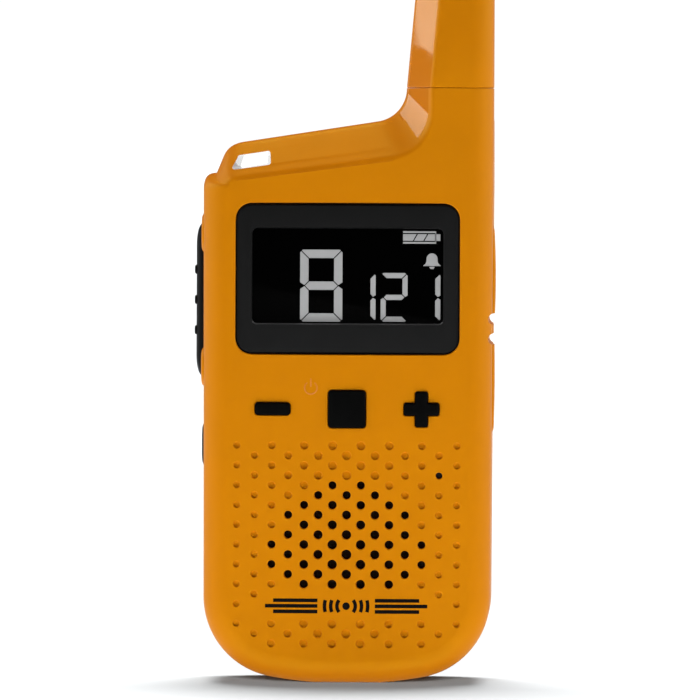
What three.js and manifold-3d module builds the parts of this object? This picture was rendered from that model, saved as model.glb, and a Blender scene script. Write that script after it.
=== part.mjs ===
// A hand-held two-way radio, upright on its base. Millimetres, +Z up, the display faces -Y.
// The origin is the centre of the flat foot under the body.
import * as THREE from "three";
import { mergeVertices } from "three/addons/utils/BufferGeometryUtils.js";
import Module from "manifold-3d";

const wasm = await Module();
wasm.setup();

// ---- Driving dimensions -------------------------------------------------------------------

const GAP = 0.3; // between pieces that are fitted into each other
const PARTING = 0.1; // between the two housing shells

const BODY = {
  half: 26.8, // half width
  front: -14,
  split: 3, // where the front shell meets the rear shell
  back: 14,
  edge: 4.5, // rounding of the long edges
  corner: 15, // radius of the two lower corners, seen from the front
  draft: 0.25, // how much each side draws in towards the base
  baseRadius: 80, // the base is one shallow arc ...
  baseFlat: 0.5, // ... cut flat by this much, so that the radio stands
  wall: 2,
};
// The sloping shoulder: its crease on the face and its ridge further back, by height at the middle and slope.
const SHOULDER = {
  crease: { z: 96.04, slope: 0.132 },
  ridge: { z: 103, slope: 0.156 },
  rearCrease: { z: 87.5, slope: 0.06 },
  run: 6.5, // depth over which the chamfer rises from crease to ridge
  ledge: [92.6, 94.5], // height of the small step outside the lanyard fin, at the crease and at the ridge
};
const NECK = { top: 110, creaseX: 15.45, ridgeX: 10.65, creaseFillet: 8.5, ridgeFillet: 6.2, pinch: 4 };
const ANTENNA = {
  tip: 162,
  lean: 0.09, // how far the left side leans in per millimetre of height
  tipWidth: 0.7, // how much the roundings narrow
  tipDepth: 0.62, // share of the neck's depth at the tip
  tipLength: 4.5, // height of the rounded tip
  boreX: 20.2,
  boreY: -5.8,
  boreRadius: 4.1,
  boreTop: 155.5,
};
const BOARD = { front: -4.6, back: -3.4, half: 21.9, bottom: 7, top: 94 };
const DISPLAY = {
  z: 74.75,
  width: 41,
  height: 27.5,
  radius: 2.8,
  windowZ: 75.25,
  windowWidth: 35.3,
  windowHeight: 17.5,
  glassWidth: 39,
  glassHeight: 21,
};
const KEYS = { z: 50.7, spacing: 13.75, long: 6.5, thick: 2.3, square: 6.9, proud: 0.6, travel: 0.5 };
const GRILLE = {
  top: 43.95,
  pitchX: 2.62,
  pitchZ: 1.83,
  spread: [0.25, 0.0625], // how much wider the outer columns stand
  centreRow: 11,
  radius: 14.5,
  lastRow: 14,
  columns: 6,
};
const SPEAKER = { z: 23.5, radius: 16 };
const MICROPHONE = { column: 6, row: 3 };
const PTT = { z: 70.68, length: 28.3, y: -4, width: 8, proud: 1.4, ribPitch: 5.6 };
const GUARD = { offset: 12.2, length: 7.6, margin: 4, proud: 0.4 }; // the pads round the talk button's ends
const SIDE_KEY = { z: 43.85, length: 7.8, y: -4, width: 5.4, proud: 0.3 };
const PORT = {
  top: 84.3,
  bottom: 46.4,
  upperHinge: 67.5,
  lowerHinge: 63.5,
  y: -4,
  width: 8,
  floor: 25.4,
  hingeX: 26.2,
  web: 0.15, // half the gap at the hinge
};
const HINGE_GROOVE = { x: 27, radius: 0.85 }; // runs across the right side at each hinge
const JACK = { z: 76, radius: 1.35 };
const USB = { z: 55, length: 7.6, width: 2.6 };
const WELL = { half: 16.6, floor: 0.5, bottom: 6.2, top: 56.4, wall: 1.2 };
const CELL = { radius: 5.25, length: 44.5, y: 6.6, spacing: 10.8, nubRadius: 2.6, nubHeight: 1 };
const DOOR = { half: 16.6, top: 61.2, lip: 1, lipDepth: 0.9, inner: 12.1, seat: 1.2 };
const CLIP = { pivotY: 17, pivotZ: 82, pinRadius: 1, eyeRadius: 2.6, half: 8, earInner: 3.4, earOuter: 4.9 };
const SCREWS = [
  { name: "housing_screw_lower_left", x: -21.2, z: 12.5 },
  { name: "housing_screw_lower_right", x: 21.2, z: 12.5 },
  { name: "housing_screw_upper_left", x: -22.2, z: 90 },
  { name: "housing_screw_upper_right", x: 22.3, z: 92 },
];
const SCREW = { seat: 8, headRadius: 1.9, headHeight: 1.6, shankRadius: 0.9, tip: -4, bossRadius: 2.6 };
const SLOT = { left: -21.4, right: -14.6, bottom: 95.1, height: 2.8, lean: 0.8 }; // for the lanyard

// ---- Materials ----------------------------------------------------------------------------

const material = (color, roughness, metalness = 0) =>
  new THREE.MeshStandardMaterial({ color, roughness, metalness });
const orange = material(0xe0860a, 0.45);
const rubber = material(0x17181a, 0.7);
const bezelPlastic = material(0x1b1c1c, 0.4);
const lensPlastic = material(0x050505, 0.08);
const glass = material(0x11151a, 0.1);
const diffuser = material(0xe8ebe6, 0.5);
const blackPlastic = material(0x202022, 0.55);
const silicone = material(0x6b7076, 0.8);
const fibreglass = material(0x1d5c33, 0.5);
const tin = material(0xb9bcbf, 0.35, 1);
const brass = material(0xc9a24b, 0.35, 1);
const copper = material(0xb4693a, 0.3, 1);
const steel = material(0xa9adb2, 0.3, 1);
const paperCone = material(0x2a2a2c, 0.9);
const felt = material(0x121212, 1);
const cellWrap = material(0x2f6fae, 0.35);

// ---- Helpers ------------------------------------------------------------------------------

// A closed geometry as a solid that can be joined and cut.
function solid(geometry) {
  const bare = geometry.index ? geometry.toNonIndexed() : geometry.clone();
  bare.deleteAttribute("normal");
  bare.deleteAttribute("uv");
  const merged = mergeVertices(bare, 1e-5);
  return new wasm.Manifold(
    new wasm.Mesh({
      numProp: 3,
      vertProperties: merged.attributes.position.array,
      triVerts: new Uint32Array(merged.index.array),
    }),
  );
}

function geometryOf(shape) {
  const mesh = shape.getMesh();
  const geometry = new THREE.BufferGeometry()
    .setAttribute("position", new THREE.BufferAttribute(mesh.vertProperties, 3))
    .setIndex(new THREE.BufferAttribute(mesh.triVerts, 1));
  const faceted = geometry.toNonIndexed();
  faceted.computeVertexNormals();
  return faceted;
}

const joined = (first, ...rest) => rest.reduce((sum, next) => sum.add(next), first);
const cut = (first, ...rest) => rest.reduce((left, next) => left.subtract(next), first);

const box = (x0, x1, y0, y1, z0, z1) =>
  solid(
    new THREE.BoxGeometry(x1 - x0, y1 - y0, z1 - z0).translate((x0 + x1) / 2, (y0 + y1) / 2, (z0 + z1) / 2),
  );

// A cylinder along X, Y or Z between two coordinates, about the point (a, b) of the other two axes.
function rod(axis, from, to, a, b, radius, sides = 16, farRadius = radius) {
  const geometry = new THREE.CylinderGeometry(farRadius, radius, to - from, sides);
  const middle = (from + to) / 2;
  if (axis === "x") return solid(geometry.rotateZ(-Math.PI / 2).translate(middle, a, b));
  if (axis === "y") return solid(geometry.translate(a, middle, b));
  return solid(geometry.rotateX(Math.PI / 2).translate(a, b, middle));
}

// A flat outline of [x, z] points, extruded along Y.
function plate(points, y0, y1) {
  const shape = new THREE.Shape(points.map(([x, z]) => new THREE.Vector2(x, z)));
  const geometry = new THREE.ExtrudeGeometry(shape, { depth: y1 - y0, bevelEnabled: false });
  return solid(geometry.rotateX(Math.PI / 2).translate(0, y1, 0));
}

// A flat outline of [y, z] points, extruded along X.
function sidePlate(points, x0, x1) {
  const shape = new THREE.Shape(points.map(([y, z]) => new THREE.Vector2(y, z)));
  const geometry = new THREE.ExtrudeGeometry(shape, { depth: x1 - x0, bevelEnabled: false });
  return solid(geometry.rotateX(Math.PI / 2).rotateZ(Math.PI / 2).translate(x0, 0, 0));
}

// The points of a rounded rectangle about a centre.
function roundedRectangle(a, b, width, height, radius, steps = 4) {
  const points = [];
  const corners = [
    [1, 1, 0],
    [-1, 1, 1],
    [-1, -1, 2],
    [1, -1, 3],
  ];
  for (const [sideA, sideB, quarter] of corners)
    for (let i = 0; i <= steps; i++) {
      const angle = ((quarter + i / steps) * Math.PI) / 2;
      points.push([
        a + sideA * (width / 2 - radius) + radius * Math.cos(angle),
        b + sideB * (height / 2 - radius) + radius * Math.sin(angle),
      ]);
    }
  return points;
}

// A closed solid through rings of [x, y, z] points that all have the same count, with flat ends.
function loft(rings) {
  const count = rings[0].length;
  const positions = rings.flat(2);
  const index = [];
  for (let r = 0; r + 1 < rings.length; r++)
    for (let i = 0; i < count; i++) {
      const next = (i + 1) % count;
      const [a, b, c, d] = [r * count + i, r * count + next, (r + 1) * count + next, (r + 1) * count + i];
      index.push(a, b, c, a, c, d);
    }
  const flat = (ring) => {
    const level = (k) => ring.every((p) => Math.abs(p[k] - ring[0][k]) < 1e-6);
    const [u, v] = level(1) ? [0, 2] : [0, 1];
    return ring.map((p) => new THREE.Vector2(p[u], p[v]));
  };
  const last = (rings.length - 1) * count;
  for (const [a, b, c] of THREE.ShapeUtils.triangulateShape(flat(rings[0]), [])) index.push(c, b, a);
  for (const [a, b, c] of THREE.ShapeUtils.triangulateShape(flat(rings.at(-1)), []))
    index.push(last + a, last + b, last + c);
  const geometry = new THREE.BufferGeometry()
    .setAttribute("position", new THREE.BufferAttribute(new Float32Array(positions), 3))
    .setIndex(index);
  let made = solid(geometry);
  if (made.volume() < 0) {
    for (let i = 0; i < index.length; i += 3) [index[i], index[i + 1]] = [index[i + 1], index[i]];
    made = solid(geometry.setIndex(index));
  }
  return made;
}

// A round wire along a curve.
function wire(curve, radius, steps, sides = 6) {
  const section = new THREE.Shape(
    Array.from({ length: sides }, (_, i) => {
      const angle = (2 * Math.PI * i) / sides;
      return new THREE.Vector2(radius * Math.cos(angle), radius * Math.sin(angle));
    }),
  );
  return solid(new THREE.ExtrudeGeometry(section, { steps, extrudePath: curve, bevelEnabled: false }));
}

class Helix extends THREE.Curve {
  constructor(centre, radii, turns, height, axis = "z") {
    super();
    Object.assign(this, { centre, radii, turns, height, axis });
  }
  getPoint(t, target = new THREE.Vector3()) {
    const angle = 2 * Math.PI * this.turns * t;
    const radius = THREE.MathUtils.lerp(this.radii[0], this.radii[1], t);
    const [u, v, w] = [radius * Math.cos(angle), radius * Math.sin(angle), this.height * t];
    const [x, y, z] = this.axis === "z" ? [u, v, w] : [w, u, v];
    return target.set(x, y, z).add(this.centre);
  }
}

// A turned piece along Y or Z: the profile is [radius, distance along the axis] points from axis to axis.
function turned(profile, axis, a, b, sides = 24) {
  const geometry = new THREE.LatheGeometry(profile.map(([r, h]) => new THREE.Vector2(r, h)), sides);
  if (axis === "z") geometry.rotateX(Math.PI / 2).translate(a, b, 0);
  else geometry.translate(a, 0, b);
  const made = solid(geometry);
  return made.volume() > 0 ? made : turned([...profile].reverse(), axis, a, b, sides);
}

const lerp = THREE.MathUtils.lerp;
const bezier = (p0, p1, p2, steps) =>
  Array.from({ length: steps + 1 }, (_, i) => {
    const t = i / steps;
    return [0, 1].map((k) => (1 - t) ** 2 * p0[k] + 2 * t * (1 - t) * p1[k] + t * t * p2[k]);
  });
const arc = (cx, cz, radius, from, to, steps) =>
  Array.from({ length: steps + 1 }, (_, i) => {
    const angle = lerp(from, to, i / steps);
    return [cx + radius * Math.cos(angle), cz + radius * Math.sin(angle)];
  });

const group = new THREE.Group();
function part(name, shape, finish) {
  const mesh = new THREE.Mesh(geometryOf(shape), finish);
  mesh.name = name;
  group.add(mesh);
}

// ---- The body's outline -------------------------------------------------------------------

// The lower half of the outline, from the left side round the base to the right side.
function baseOutline(inset, flatZ) {
  const centreZ = BODY.baseRadius - BODY.baseFlat;
  const cornerX = BODY.half - BODY.draft - BODY.corner;
  const cornerZ = centreZ - Math.sqrt((BODY.baseRadius - BODY.corner) ** 2 - cornerX ** 2);
  const baseRadius = BODY.baseRadius - inset;
  const cornerRadius = BODY.corner - inset;
  const joint = Math.atan2(cornerX, centreZ - cornerZ); // where base arc and corner arc meet
  const flat = Math.acos((centreZ - flatZ) / baseRadius);
  const right = [
    ...arc(0, centreZ, baseRadius, flat - Math.PI / 2, joint - Math.PI / 2, 2),
    ...arc(cornerX, cornerZ, cornerRadius, joint - Math.PI / 2, 0, 6).slice(1),
  ];
  const left = right.map(([x, z]) => [-x, z]).reverse();
  return [...left, ...right];
}

const ledgeAt = (rise) => lerp(...SHOULDER.ledge, Math.min(1, rise));

// The lanyard fin and the step beside it, from the shoulder line down to the left side.
function finOutline(inset, rise, lineAt, ledge) {
  const side = BODY.half - inset;
  const topX = -22.3 + 0.7 * (1 - rise);
  const footX = -(side - 2.3 + 0.4 * inset);
  const round = 2 * rise + 0.15;
  const top = [topX, lineAt(topX)];
  const below = [lerp(topX, footX, 0.4), lerp(top[1], ledge, 0.4)];
  const sideRound = 2.3 - 0.4 * inset;
  return [
    ...bezier([topX + round, lineAt(topX + round)], top, below, 3),
    ...bezier([footX, ledge], [-side, ledge], [-side, ledge - sideRound], 3),
  ];
}

// The front shell's outline at one depth. inset draws the sides and base in, rise goes from the crease (0)
// to the ridge (1), and pinch draws in the neck alone, towards its back.
function frontOutline(inset, rise, pinch) {
  const side = BODY.half - inset;
  const z = lerp(SHOULDER.crease.z, SHOULDER.ridge.z, rise);
  const slope = lerp(SHOULDER.crease.slope, SHOULDER.ridge.slope, rise);
  const neckX = lerp(NECK.creaseX, NECK.ridgeX, rise) + pinch;
  const fillet = lerp(NECK.creaseFillet, NECK.ridgeFillet, rise) - 0.25 * pinch;
  const filletX = neckX - fillet;
  const filletZ = z + slope * filletX + fillet * Math.hypot(1, slope);
  const bend = bezier([side, 100], [side, 104], [side - pinch, 107], 3);
  return [
    ...baseOutline(inset, inset),
    ...bend,
    [side - pinch, NECK.top],
    [neckX, NECK.top],
    ...arc(filletX, filletZ, fillet, 0, Math.atan(slope) - Math.PI / 2, 5),
    ...finOutline(inset, rise, (x) => z + slope * x, ledgeAt(rise) - 0.1 * inset),
  ];
}

// The rear shell's outline. drop goes from the ridge (0) to the rear crease (1).
function rearOutline(inset, drop) {
  const side = BODY.half - inset;
  const z = lerp(SHOULDER.ridge.z, SHOULDER.rearCrease.z, drop);
  const slope = lerp(SHOULDER.ridge.slope, SHOULDER.rearCrease.slope, drop);
  const lineAt = (x) => z + slope * x;
  const ledge = Math.min(ledgeAt(1) - 0.4 * inset, lineAt(-22.5) - 0.15);
  return [
    ...baseOutline(inset, inset),
    ...bezier([side, lineAt(side) - 3], [side, lineAt(side)], [side - 3, lineAt(side - 3)], 3),
    ...finOutline(inset, 1 - drop, lineAt, ledge),
  ];
}

// The cavity's outline, or one that runs round it at an offset. shift lowers its top.
function cavityOutline(offset = 0, shift = 0) {
  const inset = BODY.wall - offset;
  const side = BODY.half - inset;
  const top = (x) => 90.8 + 0.132 * (x + 24.8) + offset - shift;
  return [
    ...baseOutline(inset, inset),
    ...bezier([side, top(side) - 3], [side, top(side)], [side - 3, top(side - 3)], 3),
    ...bezier([3 - side, top(3 - side)], [-side, top(-side)], [-side, top(-side) - 3], 3),
  ];
}

const atDepth = (outline, y) => outline.map(([x, z]) => [x, y, z]);
const roundInset = (depth, radius) =>
  depth >= radius ? 0 : radius - Math.sqrt(radius ** 2 - (radius - depth) ** 2);

// ---- Front shell --------------------------------------------------------------------------

const frontShape = (y) => {
  const depth = y - BODY.front;
  const inset = roundInset(depth, BODY.edge);
  const rise = Math.min(1, depth / SHOULDER.run);
  const pinch = NECK.pinch - Math.sqrt(NECK.pinch ** 2 - Math.max(0, y - BODY.split + NECK.pinch) ** 2);
  return [inset, rise, pinch];
};
const FRONT_LEVELS = [-14, -13.6, -12.6, -11.2, -9.5, -7.5, -1, 1.2, 2.4, 3];
const frontBody = loft(FRONT_LEVELS.map((y) => atDepth(frontOutline(...frontShape(y)), y)));

const slotTilt = SHOULDER.ridge.slope;
const slotPoints = [
  [SLOT.left, SLOT.bottom],
  [SLOT.right, SLOT.bottom + slotTilt * (SLOT.right - SLOT.left)],
  [SLOT.right, SLOT.bottom + SLOT.height + slotTilt * (SLOT.right - SLOT.left)],
  [SLOT.left + SLOT.lean, SLOT.bottom + SLOT.height + slotTilt * SLOT.lean],
];
const lanyardSlot = plate(slotPoints, BODY.front - 1, BODY.back + 1);

// Sound holes: columns spread out towards the sides, and every second place is taken.
const columnX = (column) => {
  const outer = Math.max(0, Math.abs(column) - 3);
  const [linear, square] = GRILLE.spread;
  return Math.sign(column) * (GRILLE.pitchX * Math.abs(column) + linear * outer + square * outer ** 2);
};
const rowZ = (row) => GRILLE.top - GRILLE.pitchZ * row;
function soundHoles() {
  const [front, back] = [BODY.front - 1, BODY.front + BODY.wall + 1];
  const holes = [];
  for (let column = -GRILLE.columns; column <= GRILLE.columns; column++)
    for (let row = 0; row <= GRILLE.lastRow; row++) {
      const away = Math.hypot(columnX(column), rowZ(row) - rowZ(GRILLE.centreRow));
      if ((column + row) % 2 === 0 || away > GRILLE.radius) continue;
      const radius = lerp(0.92, 0.74, away / GRILLE.radius);
      holes.push(rod("y", front, back, columnX(column), rowZ(row), radius, 8));
    }
  return holes;
}

const cross = (long, thick) => {
  const [a, b] = [long / 2, thick / 2];
  return [
    [a, -b],
    [a, b],
    [b, b],
    [b, a],
    [-b, a],
    [-b, b],
    [-a, b],
    [-a, -b],
    [-b, -b],
    [-b, -a],
    [b, -a],
    [b, -b],
  ].map(([x, z]) => [x + KEYS.spacing, z + KEYS.z]);
};
const keyOutlines = {
  minus_key: (grow) =>
    roundedRectangle(-KEYS.spacing, KEYS.z, KEYS.long + grow, KEYS.thick + grow, 0.5 + grow / 2, 2),
  menu_key: (grow) => roundedRectangle(0, KEYS.z, KEYS.square + grow, KEYS.square + grow, 0.5 + grow / 2, 2),
  plus_key: (grow) => cross(KEYS.long + grow, KEYS.thick + grow),
};
const keyX = { minus_key: -KEYS.spacing, menu_key: 0, plus_key: KEYS.spacing };

const inner = BODY.front + BODY.wall; // the front wall's inside face
const wallX = BODY.half - BODY.wall; // the side walls' inside face

function slotThroughSide(x0, x1, spec, grow, radius) {
  return sidePlate(roundedRectangle(spec.y, spec.z, spec.width + grow, spec.length + grow, radius), x0, x1);
}

// Two pads that guard the ends of the push-to-talk button.
function pttGuards() {
  const pads = [-1, 1].map((end) => {
    const z = PTT.z + end * GUARD.offset;
    const outline = roundedRectangle(PTT.y, z, PTT.width + GUARD.margin, GUARD.length, 3, 3);
    return sidePlate(outline, -BODY.half - GUARD.proud, -BODY.half + 1);
  });
  return joined(...pads);
}

const portMiddle = (PORT.top + PORT.bottom) / 2;
const portLength = PORT.top - PORT.bottom;
const jackOpening = rod("x", wallX - 3, BODY.half + 1, PORT.y, JACK.z, 2.6, 16);
const usbOpening = sidePlate(
  roundedRectangle(PORT.y, USB.z, USB.width + 0.8, USB.length + 0.8, 0.6, 2),
  wallX - 3,
  BODY.half + 1,
);
const anchorZ = (PORT.upperHinge + PORT.lowerHinge) / 2;
const hingeGrooves = [PORT.upperHinge, PORT.lowerHinge].map((z) =>
  rod("y", BODY.front - 1, BODY.back + 1, HINGE_GROOVE.x, z, HINGE_GROOVE.radius, 12),
);

function frontHousing() {
  const cavity = plate(cavityOutline(), inner, BODY.split + 1);
  const bosses = SCREWS.map(({ x, z }, i) => {
    const from = i < 2 ? inner - 0.5 : -8;
    return rod("y", from, BODY.split, x, z, SCREW.bossRadius, 12);
  });
  const portPad = box(wallX - 1.2, wallX + 1, PORT.y - 5, PORT.y + 5, PORT.bottom - 2, PORT.top + 2);
  let shell = joined(cut(frontBody, cavity), ...bosses, portPad).intersect(frontBody);
  shell = joined(shell, pttGuards());
  const sealOuter = plate(cavityOutline(1.4), BODY.split - 0.8, BODY.split + 1);
  const sealInner = plate(cavityOutline(0.6), BODY.split - 1, BODY.split + 2);
  const { z, width, height, radius } = DISPLAY;
  const displayHole = roundedRectangle(0, z, width + 2 * GAP, height + 2 * GAP, radius + GAP);
  return cut(
    shell,
    sealOuter.subtract(sealInner),
    plate(displayHole, BODY.front - 1, inner + 1),
    ...Object.values(keyOutlines).map((outline) => plate(outline(0.6), BODY.front - 1, inner + 1)),
    ...soundHoles(),
    rod("y", BODY.front - 1, inner + 1, columnX(MICROPHONE.column), rowZ(MICROPHONE.row), 0.6, 10),
    lanyardSlot,
    rod("z", 94, NECK.top + 1, ANTENNA.boreX, ANTENNA.boreY, ANTENNA.boreRadius, 20),
    slotThroughSide(-BODY.half - 2, -wallX + 1, PTT, 0.6, 3.4),
    slotThroughSide(-BODY.half - 2, -wallX + 1, SIDE_KEY, 0.6, 2.5),
    sidePlate(
      roundedRectangle(PORT.y, portMiddle, PORT.width + 0.6, portLength + 0.6, 2.3),
      PORT.floor,
      BODY.half + 2,
    ),
    jackOpening,
    usbOpening,
    ...hingeGrooves,
    rod("x", wallX - 3, BODY.half + 1, PORT.y, anchorZ, 1.3, 12),
    ...SCREWS.map(({ x, z }) => rod("y", SCREW.tip - 1, BODY.split + 1, x, z, 1.2, 12)),
  );
}
part("front_housing", frontHousing(), orange);

// ---- Rear shell ---------------------------------------------------------------------------

const rearStart = BODY.split + PARTING;
const REAR_LEVELS = [rearStart, 5, 7.25, 9.5, 11.2, 12.6, 13.6, 14];
const rearBody = loft(
  REAR_LEVELS.map((y) => {
    const inset = roundInset(BODY.back - y, BODY.edge);
    const drop = (y - rearStart) / (BODY.back - rearStart);
    return atDepth(rearOutline(inset, drop), y);
  }),
);

const wellOuter = (y0, y1) =>
  box(-WELL.half - WELL.wall, WELL.half + WELL.wall, y0, y1, WELL.bottom - WELL.wall, WELL.top + WELL.wall);
const wellInner = (y0, y1) => box(-WELL.half, WELL.half, y0, y1, WELL.bottom, WELL.top);

// The channel that the battery door slides down: a wide groove below a narrower opening.
function doorChannel(play) {
  const bottom = -2;
  const lipTop = DOOR.inner + DOOR.lipDepth + play;
  const [plateHalf, lipHalf] = [DOOR.half + play, DOOR.half + DOOR.lip + play];
  return joined(
    box(-plateHalf, plateHalf, lipTop - 0.5, BODY.back + 1, bottom, DOOR.top + play),
    box(-lipHalf, lipHalf, DOOR.inner - (play ? 0.1 : 0), lipTop, bottom, DOOR.top + play),
  );
}

function clipEars() {
  const ears = [-1, 1].map((side) => {
    const [a, b] = [side * CLIP.earInner, side * CLIP.earOuter].sort((p, q) => p - q);
    const eye = rod("x", a, b, CLIP.pivotY, CLIP.pivotZ, CLIP.eyeRadius, 20);
    const [low, high] = [CLIP.pivotZ - CLIP.eyeRadius, CLIP.pivotZ + CLIP.eyeRadius];
    const root = box(a, b, BODY.back - 1, CLIP.pivotY, low, high);
    return joined(eye, root);
  });
  return joined(...ears);
}

function rearHousing() {
  const cavity = loft([
    atDepth(cavityOutline(), rearStart - 1),
    atDepth(cavityOutline(), rearStart),
    atDepth(cavityOutline(0, 9), BODY.back - BODY.wall),
  ]);
  const seatHalf = DOOR.half + DOOR.lip + 1.3;
  const seatTop = DOOR.top + 1.5;
  const doorSeat = box(-seatHalf, seatHalf, DOOR.inner - 0.1 - DOOR.seat, BODY.back, -1, seatTop);
  const hollow = cut(cavity, wellOuter(rearStart - 2, BODY.back), doorSeat);
  const bosses = SCREWS.map(({ x, z }) => rod("y", rearStart, BODY.back, x, z, SCREW.bossRadius + 0.4, 12));
  const shell = joined(cut(rearBody, hollow), ...bosses).intersect(rearBody);
  const floor = WELL.floor - WELL.wall;
  return cut(
    joined(shell, wellOuter(floor, rearStart + 1), clipEars()),
    wellInner(WELL.floor, DOOR.inner + 1),
    doorChannel(GAP),
    lanyardSlot,
    ...hingeGrooves,
    rod("x", -6, 6, CLIP.pivotY, CLIP.pivotZ, CLIP.pinRadius + 0.2, 16),
    ...SCREWS.map(({ x, z }) => rod("y", rearStart - 1, BODY.back, x, z, 1.15, 12)),
    ...SCREWS.map(({ x, z }) => rod("y", SCREW.seat, BODY.back + 2, x, z, 2.2, 16)),
  );
}
part("rear_housing", rearHousing(), orange);

function housingSeal() {
  const [y0, y1] = [BODY.split - 0.7, BODY.split + 0.05];
  return cut(plate(cavityOutline(1.25), y0, y1), plate(cavityOutline(0.75), y0 - 1, y1 + 1));
}
part("housing_seal", housingSeal(), silicone);

for (const { name, x, z } of SCREWS) {
  const head = turned(
    [
      [0, SCREW.seat + 0.05],
      [SCREW.headRadius, SCREW.seat + 0.05],
      [SCREW.headRadius, SCREW.seat + SCREW.headHeight - 0.4],
      [SCREW.headRadius * 0.6, SCREW.seat + SCREW.headHeight],
      [0, SCREW.seat + SCREW.headHeight],
    ],
    "y",
    x,
    z,
    16,
  );
  const shank = rod("y", SCREW.tip, SCREW.seat + 0.5, x, z, SCREW.shankRadius, 10);
  const top = SCREW.seat + SCREW.headHeight;
  const bladeSlot = (a, b) => box(x - a, x + a, top - 0.6, top + 1, z - b, z + b);
  part(name, cut(joined(head, shank), bladeSlot(1.1, 0.25), bladeSlot(0.25, 1.1)), steel);
}

// ---- Antenna ------------------------------------------------------------------------------

const ANTENNA_RIGHT_LEVELS = [-14, -12.6, -11.2, -9.5, -7.5, -1, 1.2, 2.4, 3];
const ANTENNA_LEFT_LEVELS = [-14, -7.5, -1, 1.2, 2.4, 3];

// The neck's section, thinner the higher it is. The left facet leans in and keeps its width.
// draw pulls the section in towards its middle, for the rounded tip.
function antennaSection(z, draw = 0) {
  const t = (z - NECK.top) / (ANTENNA.tip - NECK.top);
  const narrow = lerp(1, ANTENNA.tipWidth, t);
  const lean = ANTENNA.lean * (z - NECK.top);
  const middleX = (NECK.ridgeX + lean + BODY.half) / 2;
  const middleY = (BODY.front + BODY.split) / 2;
  const depthAt = (y) => middleY - t + (y - middleY) * lerp(1, ANTENNA.tipDepth, t);
  const place = (x, y) => [lerp(x, middleX, draw), lerp(depthAt(y), middleY - t, draw), z];
  const right = ANTENNA_RIGHT_LEVELS.map((y) => {
    const [inset, , pinch] = frontShape(y);
    return place(BODY.half - (inset + pinch) * narrow, y);
  });
  const left = ANTENNA_LEFT_LEVELS.map((y) => {
    const [, rise, pinch] = frontShape(y);
    return place(lerp(NECK.creaseX, NECK.ridgeX, rise) + lean + pinch * narrow, y);
  });
  return [...right, ...left.reverse()];
}
const tipRings = [0, 30, 50, 70, 90].map((degrees) => {
  const angle = THREE.MathUtils.degToRad(degrees);
  const z = ANTENNA.tip - ANTENNA.tipLength * (1 - Math.sin(angle));
  return antennaSection(z, 0.55 * (1 - Math.cos(angle)));
});
const antennaBody = loft([antennaSection(NECK.top + 0.15), ...tipRings]);
const bore = (z0, z1, radius, sides = 20) => rod("z", z0, z1, ANTENNA.boreX, ANTENNA.boreY, radius, sides);
part("antenna_cover", cut(antennaBody, bore(NECK.top - 1, ANTENNA.boreTop, ANTENNA.boreRadius)), orange);
part(
  "antenna_coil",
  wire(new Helix(new THREE.Vector3(ANTENNA.boreX, ANTENNA.boreY, 112), [3.1, 3.1], 9, 40), 0.45, 81, 5),
  copper,
);
part("antenna_core", joined(bore(103, 154, 2.1, 12), bore(103, 105, 3.4, 16)), blackPlastic);
part(
  "antenna_terminal",
  joined(
    bore(95.3, 102.8, 2.4, 12),
    box(16.2, 18, BOARD.back + 0.1, BOARD.back + 0.7, 88, 95.9),
    box(16.2, ANTENNA.boreX, ANTENNA.boreY - 0.8, BOARD.back + 0.7, 95.3, 95.9),
  ),
  brass,
);

// ---- Display ------------------------------------------------------------------------------

const rectangle = (z, width, height, radius, y0, y1) =>
  plate(roundedRectangle(0, z, width, height, radius, 3), y0, y1);
const windowed = (grow, radius, y0, y1) =>
  rectangle(DISPLAY.windowZ, DISPLAY.windowWidth + grow, DISPLAY.windowHeight + grow, radius, y0, y1);
const glassSized = (grow, radius, y0, y1) =>
  rectangle(DISPLAY.windowZ, DISPLAY.glassWidth + grow, DISPLAY.glassHeight + grow, radius, y0, y1);
const bezelFace = BODY.front + 0.15;
const bezelOutline = roundedRectangle(0, DISPLAY.z, DISPLAY.width, DISPLAY.height, DISPLAY.radius);
part(
  "display_bezel",
  cut(
    joined(
      plate(bezelOutline, bezelFace, inner + 0.9),
      rectangle(DISPLAY.z, DISPLAY.width + 2, DISPLAY.height + 1.4, 3, inner + 0.1, inner + 0.9),
    ),
    windowed(0, 0.8, BODY.front - 1, inner + 2),
    windowed(2.4, 1, bezelFace + 1, inner + 2),
  ),
  bezelPlastic,
);
const lensFace = bezelFace + 1.05;
part("display_lens", windowed(1.8, 0.8, lensFace, lensFace + 1), lensPlastic);
const lcdFace = inner + 1;
part("lcd_panel", glassSized(0, 0.4, lcdFace, lcdFace + 1.8), glass);
part("lcd_backlight", glassSized(0, 0.4, lcdFace + 1.9, lcdFace + 3.3), diffuser);
part(
  "lcd_frame",
  cut(
    glassSized(3, 1, lcdFace + 0.1, lcdFace + 4.3),
    glassSized(0.4, 0.5, lcdFace - 1, lcdFace + 3.5),
    box(-15, 15, lcdFace + 3, lcdFace + 5, 65.2, 68.2),
  ),
  blackPlastic,
);
part("lcd_contact_strip", box(-14.5, 14.5, lcdFace + 3.4, BOARD.front - 0.05, 65.6, 67.8), silicone);

// ---- Keys ---------------------------------------------------------------------------------

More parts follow.
